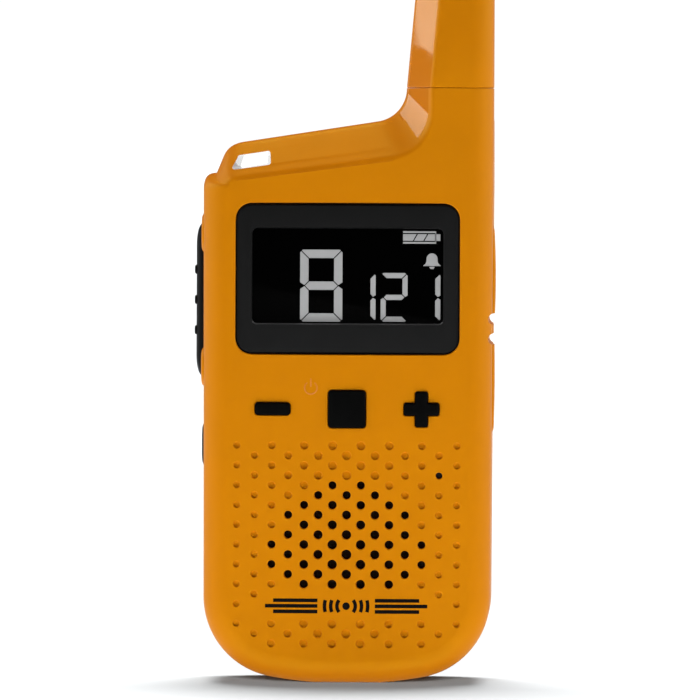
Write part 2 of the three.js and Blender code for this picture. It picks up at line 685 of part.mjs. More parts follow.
const webFront = inner + 1.8;
for (const [name, outline] of Object.entries(keyOutlines)) {
  part(
    name,
    joined(
      plate(outline(0), BODY.front - KEYS.proud, inner + 0.5),
      plate(outline(2), inner + 0.1, inner + 0.9),
      rod("y", inner + 0.5, BOARD.front - 1.1, keyX[name], KEYS.z, 1.4, 12),
    ),
    rubber,
  );
  part(
    name.replace("_key", "_dome"),
    turned(
      [
        [0, BOARD.front - 0.5],
        [1.2, BOARD.front - 0.45],
        [2.5, BOARD.front - 0.2],
        [2.5, BOARD.front - 0.02],
        [0, BOARD.front - 0.02],
      ],
      "y",
      keyX[name],
      KEYS.z,
      16,
    ),
    steel,
  );
}
const webLegs = [
  [-1, -1],
  [-1, 1],
  [1, -1],
  [1, 1],
].map(([sideX, sideZ]) =>
  rod("y", webFront + 0.3, BOARD.front - 0.05, sideX * 16.6, KEYS.z + sideZ * 3.6, 0.9, 8),
);
part(
  "keypad_web",
  cut(
    joined(rectangle(KEYS.z, 41, 10.5, 2, webFront, webFront + 0.6), ...webLegs),
    ...Object.values(keyX).map((x) => rod("y", webFront - 1, webFront + 1, x, KEYS.z, 1.8, 12)),
  ),
  silicone,
);

// ---- Side buttons -------------------------------------------------------------------------

// A capsule-shaped cap through the side wall, a flange inside it, and the switch that it presses.
function sideButton({ name, spec, ribs, flange, switchZ, switchName, stemName }) {
  const face = -BODY.half - spec.proud;
  const cap = slotThroughSide(face + 0.6, -wallX + 0.4, spec, 0, Math.min(3.1, spec.width / 2 - 0.05));
  const crown = slotThroughSide(face, face + 0.8, spec, -1.4, Math.min(2.6, spec.width / 2 - 0.75));
  const ribHalf = spec.width / 2 - 1.2;
  const ribSolids = ribs.map((z) =>
    box(face - 0.3, face + 0.5, spec.y - ribHalf, spec.y + ribHalf, z - 0.8, z + 0.8),
  );
  const flangePlate = slotThroughSide(-wallX + 0.2, -wallX + 1, spec, flange, 2);
  part(name, joined(cap, crown, flangePlate, ...ribSolids), rubber);
  const [y, stemFrom] = [BOARD.back + 1.5, -wallX + 1.1];
  part(stemName, rod("x", stemFrom, -20.4, y, switchZ, 0.75, 12), blackPlastic);
  const body = box(-21.7, -18.3, BOARD.back + 0.1, BOARD.back + 2.9, switchZ - 1.9, switchZ + 1.9);
  part(switchName, cut(body, rod("x", -22.5, -19, y, switchZ, 0.95, 12)), tin);
}
sideButton({
  name: "ptt_button",
  spec: PTT,
  ribs: [PTT.z - PTT.ribPitch, PTT.z, PTT.z + PTT.ribPitch],
  flange: 2,
  switchZ: PTT.z,
  switchName: "ptt_switch",
  stemName: "ptt_switch_stem",
});
sideButton({
  name: "side_key",
  spec: SIDE_KEY,
  ribs: [],
  flange: 2,
  switchZ: SIDE_KEY.z,
  switchName: "side_key_switch",
  stemName: "side_key_switch_stem",
});

// ---- Ports and their covers ---------------------------------------------------------------

// One rubber flap: its hinge end is cut at 45 degrees, so that the notch closes as the flap swings out.
function portFlap(hingeZ, endZ, proud, plug) {
  const way = Math.sign(endZ - hingeZ);
  const outer = BODY.half + proud;
  const near = hingeZ + way * PORT.web;
  const slab = box(
    PORT.floor + 0.2,
    outer,
    PORT.y - PORT.width / 2,
    PORT.y + PORT.width / 2,
    Math.min(near, endZ),
    Math.max(near, endZ),
  );
  const reach = outer - PORT.hingeX + 0.5;
  const notch = plate(
    [
      [PORT.hingeX, near - way * 0.5],
      [PORT.hingeX + reach, near - way * 0.5],
      [PORT.hingeX + reach, near + way * reach],
      [PORT.hingeX, near],
    ],
    PORT.y - PORT.width,
    PORT.y + PORT.width,
  );
  const corners = sidePlate(
    roundedRectangle(PORT.y, (hingeZ + endZ) / 2 - way * 3, PORT.width, Math.abs(endZ - hingeZ) + 6, 2, 3),
    PORT.floor,
    outer + 1,
  );
  return joined(cut(slab, notch).intersect(corners), plug);
}
part(
  "jack_cover",
  portFlap(
    PORT.upperHinge,
    PORT.top,
    0.5,
    rod("x", PORT.floor - 0.8, PORT.floor + 0.5, PORT.y, JACK.z, 2.1, 12),
  ),
  orange,
);
part(
  "usb_cover",
  portFlap(
    PORT.lowerHinge,
    PORT.bottom,
    0.35,
    sidePlate(
      roundedRectangle(PORT.y, USB.z, USB.width - 0.2, USB.length - 0.4, 0.5, 2),
      PORT.floor - 0.8,
      PORT.floor + 0.5,
    ),
  ),
  orange,
);

function coverAnchor() {
  const outer = BODY.half + 0.1;
  const half = PORT.width / 2;
  const [top, bottom] = [PORT.upperHinge - PORT.web, PORT.lowerHinge + PORT.web];
  const reach = outer - PORT.hingeX;
  const block = plate(
    [
      [PORT.floor + 0.1, bottom],
      [PORT.hingeX, bottom],
      [outer, bottom + reach * 0.9],
      [outer, top - reach * 0.9],
      [PORT.hingeX, top],
      [PORT.floor + 0.1, top],
    ],
    PORT.y - half,
    PORT.y + half,
  );
  const stem = rod("x", wallX - 1.9, PORT.floor + 0.5, PORT.y, anchorZ, 1, 12);
  const barb = rod("x", wallX - 2.5, wallX - 1.5, PORT.y, anchorZ, 1.1, 12, 1.8);
  return joined(block, stem, barb);
}
part("port_cover_anchor", coverAnchor(), orange);

const portInner = wallX - 1.5;
part(
  "audio_jack",
  cut(
    box(13.5, portInner, PORT.y - 2.6, PORT.y + 2.6, JACK.z - 2.6, JACK.z + 2.6),
    rod("x", 15, portInner + 1, PORT.y, JACK.z, JACK.radius, 16),
  ),
  blackPlastic,
);
const usbShell = (grow, x0, x1) =>
  sidePlate(roundedRectangle(PORT.y, USB.z, USB.width + grow, USB.length + grow, 0.5, 2), x0, x1);
const usbTongue = box(18.5, portInner - 0.8, PORT.y - 0.3, PORT.y + 0.3, USB.z - 2.4, USB.z + 2.4);
const usbCan = cut(usbShell(0, 18.2, portInner), usbShell(-0.8, 18.9, portInner + 1));
part("usb_socket", joined(usbCan, usbTongue), tin);

// ---- Speaker and microphone ---------------------------------------------------------------

const speakerTurned = (profile, sides = 28) => turned(profile, "y", 0, SPEAKER.z, sides);
const ring = (outer, innerRadius, y0, y1) =>
  speakerTurned([
    [innerRadius, y0],
    [innerRadius, y1],
    [outer, y1],
    [outer, y0],
    [innerRadius, y0],
  ]);
part("speaker_mesh", rod("y", inner + 0.05, inner + 0.3, 0, SPEAKER.z, SPEAKER.radius - 0.4, 28), felt);
part("speaker_gasket", ring(SPEAKER.radius, SPEAKER.radius - 1.6, inner + 0.35, inner + 0.95), silicone);
part(
  "speaker_frame",
  speakerTurned([
    [6, inner + 4.1],
    [15.2, inner + 3.1],
    [SPEAKER.radius, inner + 2.2],
    [SPEAKER.radius, inner + 1],
    [SPEAKER.radius - 1.4, inner + 1],
    [SPEAKER.radius - 1.4, inner + 1.8],
    [14.2, inner + 2.4],
    [6, inner + 3.4],
    [6, inner + 4.1],
  ]),
  tin,
);
part(
  "speaker_cone",
  speakerTurned([
    [0, inner + 1.2],
    [3, inner + 1.5],
    [4.2, inner + 2.4],
    [11.6, inner + 1.4],
    [13, inner + 1.1],
    [14.2, inner + 1.5],
    [14.2, inner + 1.8],
    [13, inner + 1.4],
    [11.6, inner + 1.8],
    [4.2, inner + 2.8],
    [0, inner + 2.4],
  ]),
  paperCone,
);
part(
  "speaker_magnet",
  speakerTurned([
    [0, inner + 3],
    [5.6, inner + 3],
    [5.6, inner + 4.3],
    [7.6, inner + 4.3],
    [7.6, inner + 6.6],
    [0, inner + 6.6],
  ]),
  steel,
);
const micAt = [columnX(MICROPHONE.column), rowZ(MICROPHONE.row)];
part(
  "microphone_boot",
  cut(
    rod("y", inner + 0.1, inner + 3.8, ...micAt, 3, 16),
    rod("y", inner - 1, inner + 2, ...micAt, 0.7, 8),
    rod("y", inner + 1, inner + 5, ...micAt, 2.35, 16),
  ),
  silicone,
);
part("microphone", rod("y", inner + 1.1, inner + 3.7, ...micAt, 2.15, 16), tin);

// ---- Main board ---------------------------------------------------------------------------

const boardSlab = plate(cavityOutline(-1.2), BOARD.front, BOARD.back);
const boardLimits = box(-BOARD.half, BOARD.half, BOARD.front - 1, BOARD.back + 1, BOARD.bottom, BOARD.top);
part(
  "main_board",
  cut(
    boardSlab.intersect(boardLimits),
    ...SCREWS.map(({ x, z }) => rod("y", BOARD.front - 1, BOARD.back + 1, x, z, SCREW.bossRadius + 0.4, 16)),
    box(13.1, BOARD.half + 1, BOARD.front - 1, BOARD.back + 1, JACK.z - 3, JACK.z + 3),
    box(17.8, BOARD.half + 1, BOARD.front - 1, BOARD.back + 1, USB.z - 4.2, USB.z + 4.2),
  ),
  fibreglass,
);
const onBoard = (x0, x1, z0, z1, height) =>
  box(x0, x1, BOARD.back + 0.05, BOARD.back + height, z0, z1);
const canInside = box(-13.6, 9.6, BOARD.back, BOARD.back + 2.2, 62.4, 87.6);
part("rf_shield", cut(onBoard(-14, 10, 62, 88, 2.6), canInside), tin);
part("radio_chip", onBoard(-7, 2, 70, 79, 1.1), blackPlastic);
part("reference_crystal", onBoard(-12, -8.5, 66, 68.5, 1.2), tin);

// ---- Batteries and their contacts ---------------------------------------------------------

const CELLS = [-1, 0, 1].map((place) => ({ x: place * CELL.spacing, up: place !== 0 }));
CELLS.forEach(({ x, up }, i) => {
  const profile = [
    [0, 0],
    [CELL.radius - 0.4, 0],
    [CELL.radius, 0.4],
    [CELL.radius, CELL.length - CELL.nubHeight - 0.5],
    [CELL.radius - 0.6, CELL.length - CELL.nubHeight],
    [CELL.nubRadius, CELL.length - CELL.nubHeight],
    [CELL.nubRadius, CELL.length],
    [0, CELL.length],
  ];
  // Positive end up on the outer cells, and down on the middle one.
  const from = up ? WELL.top - 0.7 - CELL.length : WELL.bottom + 0.7;
  const placed = profile.map(([r, h]) => [r, up ? from + h : from + CELL.length - h]);
  part(`battery_cell_${i + 1}`, turned(placed, "z", x, CELL.y, 18), cellWrap);
  const springFrom = up ? WELL.bottom + 1 : WELL.top - 1;
  const springTo = up ? from - 0.5 : from + CELL.length + 0.5;
  const helix = new Helix(
    new THREE.Vector3(x, CELL.y, springFrom),
    [3.4, 1.8],
    3,
    springTo - springFrom,
  );
  part(`battery_spring_${i + 1}`, wire(helix, 0.3, 27, 5), steel);
});
// A contact across one cell or two, by their places in the row.
function contactPlate(name, from, to, z0) {
  const half = 3.8;
  const [x0, x1] = [from * CELL.spacing - half, to * CELL.spacing + half];
  part(name, box(x0, x1, CELL.y - half, CELL.y + half, z0, z0 + 0.4), steel);
}
contactPlate("battery_contact_positive", -1, -1, WELL.top - 0.5);
contactPlate("battery_bridge_top", 0, 1, WELL.top - 0.5);
contactPlate("battery_bridge_bottom", -1, 0, WELL.bottom + 0.1);
contactPlate("battery_contact_negative", 1, 1, WELL.bottom + 0.1);

// ---- Battery door -------------------------------------------------------------------------

part("battery_door", doorChannel(0).intersect(rearBody), orange);

// ---- Belt clip ----------------------------------------------------------------------------

function beltClip() {
  const inside = [
    [14.5, 51.4],
    [16.2, 54],
    [19.3, 57.6],
    [19.9, 61],
    [19.9, 84],
    [19.2, 88.5],
    [17.6, 93],
    [17.2, 95.6],
  ];
  const outside = [
    [18.6, 96.2],
    [19.6, 94],
    [21.2, 89],
    [22, 84],
    [22, 60],
    [21, 56],
    [17.8, 52.6],
    [17.2, 50.6],
    [18.4, 47.6],
    [17, 47],
    [15.2, 49.6],
  ];
  const blade = sidePlate([...inside, ...outside], -CLIP.half, CLIP.half);
  const lugs = [-1, 1].map((side) => {
    const [a, b] = [side * (CLIP.earOuter + 0.3), side * CLIP.half].sort((p, q) => p - q);
    const { pivotY, pivotZ, eyeRadius } = CLIP;
    return joined(
      rod("x", a, b, pivotY, pivotZ, eyeRadius, 20),
      box(a, b, pivotY, 20.5, pivotZ - eyeRadius, pivotZ + eyeRadius),
    );
  });
  return cut(
    joined(blade, ...lugs),
    rod("x", -CLIP.half - 1, CLIP.half + 1, CLIP.pivotY, CLIP.pivotZ, CLIP.pinRadius + 0.25, 16),
  );
}
part("belt_clip", beltClip(), blackPlastic);
part("belt_clip_pin", rod("x", -CLIP.half, CLIP.half, CLIP.pivotY, CLIP.pivotZ, CLIP.pinRadius, 16), steel);

// The torsion spring's coil round the pin, with one leg on the shell and one on the clip.
function clipSpring() {
  const { pivotY, pivotZ } = CLIP;
  const radius = 1.75;
  const half = 2.7;
  const turns = 4.5;
  const legs = 9;
  const points = [new THREE.Vector3(-half, 14.75, pivotZ - legs), new THREE.Vector3(-half, 15, pivotZ - 4)];
  const steps = Math.round(turns * 8);
  for (let i = 0; i <= steps; i++) {
    const angle = Math.PI + (2 * Math.PI * turns * i) / steps;
    const [y, z] = [pivotY + radius * Math.cos(angle), pivotZ + radius * Math.sin(angle)];
    points.push(new THREE.Vector3(lerp(-half, half, i / steps), y, z));
  }
  points.push(new THREE.Vector3(half, 19.1, pivotZ - 4), new THREE.Vector3(half, 19.45, pivotZ - legs));
  return wire(new THREE.CatmullRomCurve3(points, false, "centripetal"), 0.3, 70, 5);
}
part("belt_clip_spring", clipSpring(), steel);

export default group;
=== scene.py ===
"""A hand-held two-way radio in orange plastic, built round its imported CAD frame.

Shapes are modelled in millimetres in the frame's own axes: +Z is up, the display faces -Y, the talk
button is on the -X side and the antenna on the +X side. A piece becomes metres as it is added.
"""

import math
from contextlib import contextmanager

import bmesh
import bpy
from mathutils import Matrix, Vector


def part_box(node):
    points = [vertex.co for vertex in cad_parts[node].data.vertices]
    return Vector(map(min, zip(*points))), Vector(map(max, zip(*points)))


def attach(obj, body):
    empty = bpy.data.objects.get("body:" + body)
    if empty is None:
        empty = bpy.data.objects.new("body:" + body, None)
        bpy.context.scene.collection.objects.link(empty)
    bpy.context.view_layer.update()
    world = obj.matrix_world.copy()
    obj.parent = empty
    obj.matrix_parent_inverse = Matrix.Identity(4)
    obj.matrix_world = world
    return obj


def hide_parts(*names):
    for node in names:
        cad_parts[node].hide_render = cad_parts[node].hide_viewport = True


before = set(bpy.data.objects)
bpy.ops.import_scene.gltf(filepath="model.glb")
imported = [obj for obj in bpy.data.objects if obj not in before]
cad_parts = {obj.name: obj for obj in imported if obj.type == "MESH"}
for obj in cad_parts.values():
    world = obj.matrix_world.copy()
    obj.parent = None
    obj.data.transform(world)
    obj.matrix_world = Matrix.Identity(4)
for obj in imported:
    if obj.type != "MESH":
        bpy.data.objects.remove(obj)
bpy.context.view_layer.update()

MM = 0.001


def limits(node):
    """The lowest and highest corner of a CAD node, in millimetres."""
    return [tuple(value / MM for value in corner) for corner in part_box(node)]


# ---- Driving dimensions ----------------------------------------------------------------------

shell_low, shell_high = limits("front_housing")
HALF = limits("rear_housing")[1][0]
FRONT, SPLIT, NECK_TOP = shell_low[1], shell_high[1], shell_high[2]
BACK = limits("battery_door")[1][1]
TIP = limits("antenna_cover")[1][2]
PARTING = 0.1  # between the two shells
SEAM = 0.22  # bevel on both edges of the parting line
WALL = 2.0
CAVITY_TOP = 90.8  # at the left
EDGE = 4.5  # rounding of the long edges
CROWN = 1.4  # how far the front bows back at its sides
LOWER_CORNER = 15.0
DRAFT = 0.25  # how much each side draws in towards the base
BASE_RADIUS = 80.0
BASE_FLAT = 0.25
CREASE = (96.04, 0.132)  # the shoulder's line on the face: height at the middle, and slope
RIDGE = (103.0, 0.156)
REAR_CREASE = (87.5, 0.06)
RUN = 6.5  # depth of the chamfer from crease to ridge
LEDGE = (92.3, 94.2)  # height of the step beside the fin: at the face, and at the ridge
FIN_X = -22.3  # left end of the fin's top, at the ridge
STEP_ROUNDING = 2.3  # of the step's outer corner
NECK_CREASE, NECK_RIDGE = 15.45, 10.65  # left side of the neck
CREASE_FILLET, RIDGE_FILLET = 8.5, 6.2
PINCH = 4.0  # rounding at the back of the neck
CREASE_SOFTNESS, RIDGE_SOFTNESS = 0.6, 0.9
POLISH_START, POLISH_STOP = 0.15, 0.93  # the polished part of the facet's rise
POLISH_END = math.radians(43)  # how far round the bend below the neck the polish goes
LEAN = 0.09  # of the antenna's left side, per millimetre of height
NARROWING, THINNING, TIP_LENGTH = 0.7, 0.62, 4.5  # the antenna's tip against its foot
MIDDLE_Y = (FRONT + SPLIT) / 2


# ---- Outlines --------------------------------------------------------------------------------


def lerp(a, b, t):
    return a + (b - a) * t


def arc(cx, cz, radius, start, end, steps):
    angles = [lerp(start, end, i / steps) for i in range(steps + 1)]
    return [(cx + radius * math.cos(angle), cz + radius * math.sin(angle)) for angle in angles]


def bend(a, b, c, t):
    """A soft bend from a (t = 0) to c (t = 1), drawn towards b."""
    return (1 - t) ** 2 * a + 2 * t * (1 - t) * b + t * t * c


def bezier(p0, p1, p2, steps):
    shares = [i / steps for i in range(steps + 1)]
    return [tuple(bend(a, b, c, t) for a, b, c in zip(p0, p1, p2)) for t in shares]


def rounded_rectangle(a, b, width, height, radius, steps=8):
    """An outline that can grow: outline(grow) is the rectangle with that much added all round."""

    def outline(grow=0.0):
        points = []
        r = max(radius + grow, 0.05)
        for side_a, side_b, quarter in ((1, 1, 0), (-1, 1, 1), (-1, -1, 2), (1, -1, 3)):
            ca = a + side_a * (width / 2 + grow - r)
            cb = b + side_b * (height / 2 + grow - r)
            points += arc(ca, cb, r, quarter * math.pi / 2, (quarter + 1) * math.pi / 2, steps)
        return points

    return outline


def circle(a, b, radius, steps=24):
    def outline(grow=0.0):
        return arc(a, b, radius + grow, 0, math.tau, steps)[:-1]

    return outline


def cross(a, b, length, thickness, radius=0.45):
    """A plus sign with rounded arm ends."""

    def outline(grow=0.0):
        half, arm = length / 2 + grow, thickness / 2 + grow
        points = []
        for quarter in range(4):
            cosine, sine = math.cos(quarter * math.pi / 2), math.sin(quarter * math.pi / 2)
            arm_points = arc(half - radius, arm - radius, radius, 0, math.pi / 2, 4) + [(arm, arm)]
            inner = arc(half - radius, -arm + radius, radius, -math.pi / 2, 0, 4)
            for x, z in inner + arm_points:
                points.append((a + x * cosine - z * sine, b + x * sine + z * cosine))
        return points

    return outline


def base_outline(inset):
    """The lower half of the body's outline, from the left side round the base to the right side."""
    centre = BASE_RADIUS - BASE_FLAT
    corner_x = HALF - DRAFT - LOWER_CORNER
    corner_z = centre - math.sqrt((BASE_RADIUS - LOWER_CORNER) ** 2 - corner_x**2)
    joint = math.atan2(corner_x, centre - corner_z)
    flat = math.acos(min(1, (centre - inset) / (BASE_RADIUS - inset)))
    right = arc(0, centre, BASE_RADIUS - inset, flat - math.pi / 2, joint - math.pi / 2, 8)
    right += arc(corner_x, corner_z, LOWER_CORNER - inset, joint - math.pi / 2, 0, 22)[1:]
    left = [(-x, z) for x, z in reversed(right)]
    return left + right


def fin_outline(inset, rise, height_at, ledge):
    """The lanyard fin and the step beside it, from the shoulder line down to the left side."""
    side = HALF - inset
    top_x = FIN_X + 0.7 * (1 - rise)
    drop = STEP_ROUNDING - 0.4 * inset
    foot_x = drop - side
    rounding = 2 * max(rise, 0) + 0.8
    top_z = height_at(top_x)
    below = (lerp(top_x, foot_x, 0.4), lerp(top_z, ledge, 0.4))
    points = bezier((top_x + rounding, height_at(top_x + rounding)), (top_x, top_z), below, 8)
    return points + bezier((foot_x, ledge), (-side, ledge), (-side, ledge - drop), 8)


def neck_fillet(rise, pinch=0.0):
    """Radius and centre of the bend between the shoulder and the neck."""
    z = lerp(CREASE[0], RIDGE[0], rise)
    slope = lerp(CREASE[1], RIDGE[1], rise)
    fillet = lerp(CREASE_FILLET, RIDGE_FILLET, rise) - 0.25 * pinch
    x = lerp(NECK_CREASE, NECK_RIDGE, rise) + pinch - fillet
    return fillet, (x, z + slope * x + fillet * math.hypot(1, slope))


def front_outline(inset, rise, pinch):
    """The front shell's outline at one depth: inset draws in the sides and base, rise goes from the
    crease (0) to the ridge (1), and pinch draws in the neck."""
    side = HALF - inset
    z = lerp(CREASE[0], RIDGE[0], rise)
    slope = lerp(CREASE[1], RIDGE[1], rise)
    neck = lerp(NECK_CREASE, NECK_RIDGE, rise) + pinch
    fillet, centre = neck_fillet(rise, pinch)
    points = base_outline(inset)
    points += bezier((side, NECK_TOP - 10), (side, NECK_TOP - 6), (side - pinch, NECK_TOP - 3), 8)
    points += [(side - pinch, NECK_TOP), (neck, NECK_TOP)]
    points += arc(*centre, fillet, 0, math.atan(slope) - math.pi / 2, 18)
    ledge = lerp(LEDGE[0], LEDGE[1], min(1, rise)) - 0.1 * inset
    return points + fin_outline(inset, rise, lambda x: z + slope * x, ledge)


def rear_outline(inset, drop):
    """The rear shell's outline: drop goes from the ridge (0) to the rear crease (1)."""
    side = HALF - inset
    z = lerp(RIDGE[0], REAR_CREASE[0], drop)
    slope = lerp(RIDGE[1], REAR_CREASE[1], drop)

    def height_at(x):
        return z + slope * x

    ledge = min(LEDGE[1] - 0.4 * inset, height_at(-22.5) - 0.15)
    top = height_at(side)
    corner = bezier((side, top - 3), (side, top), (side - 3, height_at(side - 3)), 8)
    return base_outline(inset) + corner + fin_outline(inset, 1 - drop, height_at, ledge)


def cavity_outline(shift=0.0):
    """The space inside the shells. shift lowers its top."""
    side = HALF - WALL

    def top(x):
        return CAVITY_TOP + CREASE[1] * (x + side) - shift

    right = bezier((side, top(side) - 3), (side, top(side)), (side - 3, top(side - 3)), 4)
    left = bezier((3 - side, top(3 - side)), (-side, top(-side)), (-side, top(-side) - 3), 4)
    return base_outline(WALL) + right + left


# ---- Mesh tools ------------------------------------------------------------------------------


@contextmanager
def editing(mesh):
    """The mesh opened as a bmesh, and written back at the end."""
    work = bmesh.new()
    work.from_mesh(mesh)
    yield work
    work.to_mesh(mesh)
    work.free()


def add_object(name, data):
    """A new object in the scene's own collection."""
    made = bpy.data.objects.new(name, data)
    bpy.context.scene.collection.objects.link(made)
    return made


def mesh_from(points, faces):
    mesh = bpy.data.meshes.new("shape")
    mesh.from_pydata(points, [], faces)
    with editing(mesh) as work:
        bmesh.ops.recalc_face_normals(work, faces=work.faces)
    return mesh


def loft(rings):
    """A closed mesh through rings of points that all have the same count."""
    count = len(rings[0])
    faces = []
    for r in range(len(rings) - 1):
        for i in range(count):
            j = (i + 1) % count
            faces.append((r * count + i, r * count + j, (r + 1) * count + j, (r + 1) * count + i))
    faces.append(tuple(range(count)))
    faces.append(tuple(range((len(rings) - 1) * count, len(rings) * count)))
    return mesh_from([point for ring in rings for point in ring], faces)


PLACE = {
    "x": lambda a, b, along: (along, a, b),
    "y": lambda a, b, along: (a, along, b),
    "z": lambda a, b, along: (a, b, along),
}


def tunnel(outline, axis, stations):
    """A solid along an axis: each station is a place on it and how much the outline grows there."""
    place = PLACE[axis]
    return loft([[place(a, b, along) for a, b in outline(grow)] for along, grow in stations])


def rod(a, b, radius, axis, start, end):
    """A round rod along an axis."""
    return tunnel(circle(a, b, radius), axis, [(start, 0), (end, 0)])


def soft_end(face, inward, rounding, draw=None, steps=6):
    """Stations that round the edge of an end face. draw is how far the edge is drawn in."""
    draw = rounding if draw is None else draw
    stations = []
    for i in range(steps + 1):
        angle = math.pi / 2 * i / steps
        stations.append((face + inward * rounding * (1 - math.cos(angle)), -draw * (1 - math.sin(angle))))
    return stations


def flared(surface, end, chamfer):
    """Stations for a cutter that leaves a small chamfer where it enters the surface."""
    way = math.copysign(1, end - surface)
    return [(surface - way, chamfer + 1), (surface + way * chamfer, 0), (end, 0)]


def turned(profile, axis, a, b, steps=32):
    """A turned solid. The profile is (radius, place on the axis) points, from axis to axis."""
    place = PLACE[axis]
    rings = []
    for radius, along in profile:
        points = arc(a, b, max(radius, 0.001), 0, math.tau, steps)[:-1]
        rings.append([place(p, q, along) for p, q in points])
    return loft(rings)


def box(x0, x1, y0, y1, z0, z1):
    corners = [(x0, y0), (x1, y0), (x1, y1), (x0, y1)]
    return loft([[(x, y, z) for x, y in corners] for z in (z0, z1)])


def slab(points, axis, start, end):
    """A flat outline pushed along an axis."""
    place = PLACE[axis]
    return loft([[place(a, b, along) for a, b in points] for along in (start, end)])


def wire(points, radius, sides=10):
    """A round wire through a list of points, with a frame carried along so that it doesn't twist."""
    points = [Vector(p) for p in points]
    tangent = (points[1] - points[0]).normalized()
    normal = tangent.orthogonal().normalized()
    rings = []
    for i, point in enumerate(points):
        ahead = points[min(i + 1, len(points) - 1)] - points[max(i - 1, 0)]
        turn = tangent.rotation_difference(ahead.normalized())
        tangent, normal = ahead.normalized(), turn @ normal
        side = tangent.cross(normal)
        ring = []
        for k in range(sides):
            angle = math.tau * k / sides
            ring.append(point + radius * (math.cos(angle) * normal + math.sin(angle) * side))
        rings.append([tuple(p) for p in ring])
    return loft(rings)


def together(meshes):
    """Separate solids as one mesh."""
    whole = bpy.data.meshes.new("group")
    with editing(whole) as work:
        for mesh in meshes:
            work.from_mesh(mesh)
    return whole


def boolean(operation, target, *tools):
    """The target joined with, cut by or kept inside each of the other meshes."""
    body = add_object("target", target)
    helpers = [body]
    for tool in tools:
        helpers.append(add_object("tool", tool))
        step = body.modifiers.new("step", "BOOLEAN")
        step.operation, step.solver, step.object = operation, "MANIFOLD", helpers[-1]
    result = bpy.data.meshes.new_from_object(body.evaluated_get(bpy.context.evaluated_depsgraph_get()))
    for helper in helpers:
        bpy.data.objects.remove(helper)
    return result


def cut(target, *tools):
    return boolean("DIFFERENCE", target, *tools)


def joined(target, *tools):
    return boolean("UNION", target, *tools)


def bevelled(mesh, width, segments=3, angle=30):
    settings = {"offset": width, "segments": segments, "profile": 0.5, "clamp_overlap": True}
    with editing(mesh) as work:
        sharp = [e for e in work.edges if e.is_manifold and e.calc_face_angle() > math.radians(angle)]
        bmesh.ops.bevel(work, geom=sharp, affect="EDGES", **settings)
    return mesh


def sliced(mesh, axis, places, chosen=lambda face: True):
    """The chosen faces split by planes across an axis, so that they can be bent."""
    direction = Vector([1.0 if letter == axis else 0.0 for letter in "xyz"])
    with editing(mesh) as work:
        for place in places:
            faces = [f for f in work.faces if chosen(f)]
            parts = set(faces) | {e for f in faces for e in f.edges} | {v for f in faces for v in f.verts}
            bmesh.ops.bisect_plane(work, geom=list(parts), plane_co=direction * place, plane_no=direction)
    return mesh


def crown_depth(x):
    return CROWN * abs(x / HALF) ** 3


def crowned(mesh):
    """The front bows back towards its sides; the shift fades out behind the edge rounding."""
    for vertex in mesh.vertices:
        share = min(1, max(0, (FRONT + EDGE - vertex.co.y) / EDGE))
        vertex.co.y += crown_depth(vertex.co.x) * share
    return mesh


def front_normal(point, normal):
    """The exact normal of the bowed front, for a corner that lies on it, in metres."""
    x, y = point.x / MM, point.y / MM
    if normal.y > -0.85 or abs(y - FRONT - crown_depth(x)) > 0.004:
        return None
    slope = 3 * crown_depth(x) / x if abs(x) > 0.01 else 0.0
    return Vector((slope, -1, 0)).normalized()


def back_normal(point, normal):
    if normal.y < 0.85 or abs(point.y / MM - BACK) > 0.004:
        return None
    return Vector((0, 1, 0))


def set_normals(mesh, rule):
    normals = [corner.vector.copy() for corner in mesh.corner_normals]
    for polygon in mesh.polygons:
        for corner in polygon.loop_indices:
            exact = rule(mesh.vertices[mesh.loops[corner].vertex_index].co, polygon.normal)
            if exact:
                normals[corner] = exact
    mesh.normals_split_custom_set(normals)


def add_piece(name, mesh, body, finishes, stands_for=(), sharp=30, rule=None, second=None):
    """Makes a mesh in millimetres a piece of the object, riding on a CAD body. Faces for which
    second(face) holds take the second finish."""
    mesh.materials.clear()
    for finish in finishes:
        mesh.materials.append(finish)
    if second:
        for face in mesh.polygons:
            face.material_index = int(second(face))
    mesh.transform(Matrix.Scale(MM, 4))
    mesh.shade_smooth()
    mesh.set_sharp_from_angle(angle=math.radians(sharp))
    if rule:
        set_normals(mesh, rule)
    piece = add_object(name, mesh)
    mesh.name = name
    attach(piece, body)
    if stands_for:
        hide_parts(*stands_for)
    return piece


# ---- Materials -------------------------------------------------------------------------------


def add_node(tree, kind, inputs=None, **settings):
    """A shader node whose inputs are set, or linked where a socket is given."""
    made = tree.nodes.new(kind)
    for key, value in settings.items():
        setattr(made, key, value)
    for key, value in (inputs or {}).items():
        if isinstance(value, bpy.types.NodeSocket):
            tree.links.new(value, made.inputs[key])
        else:
            made.inputs[key].default_value = value
    return made


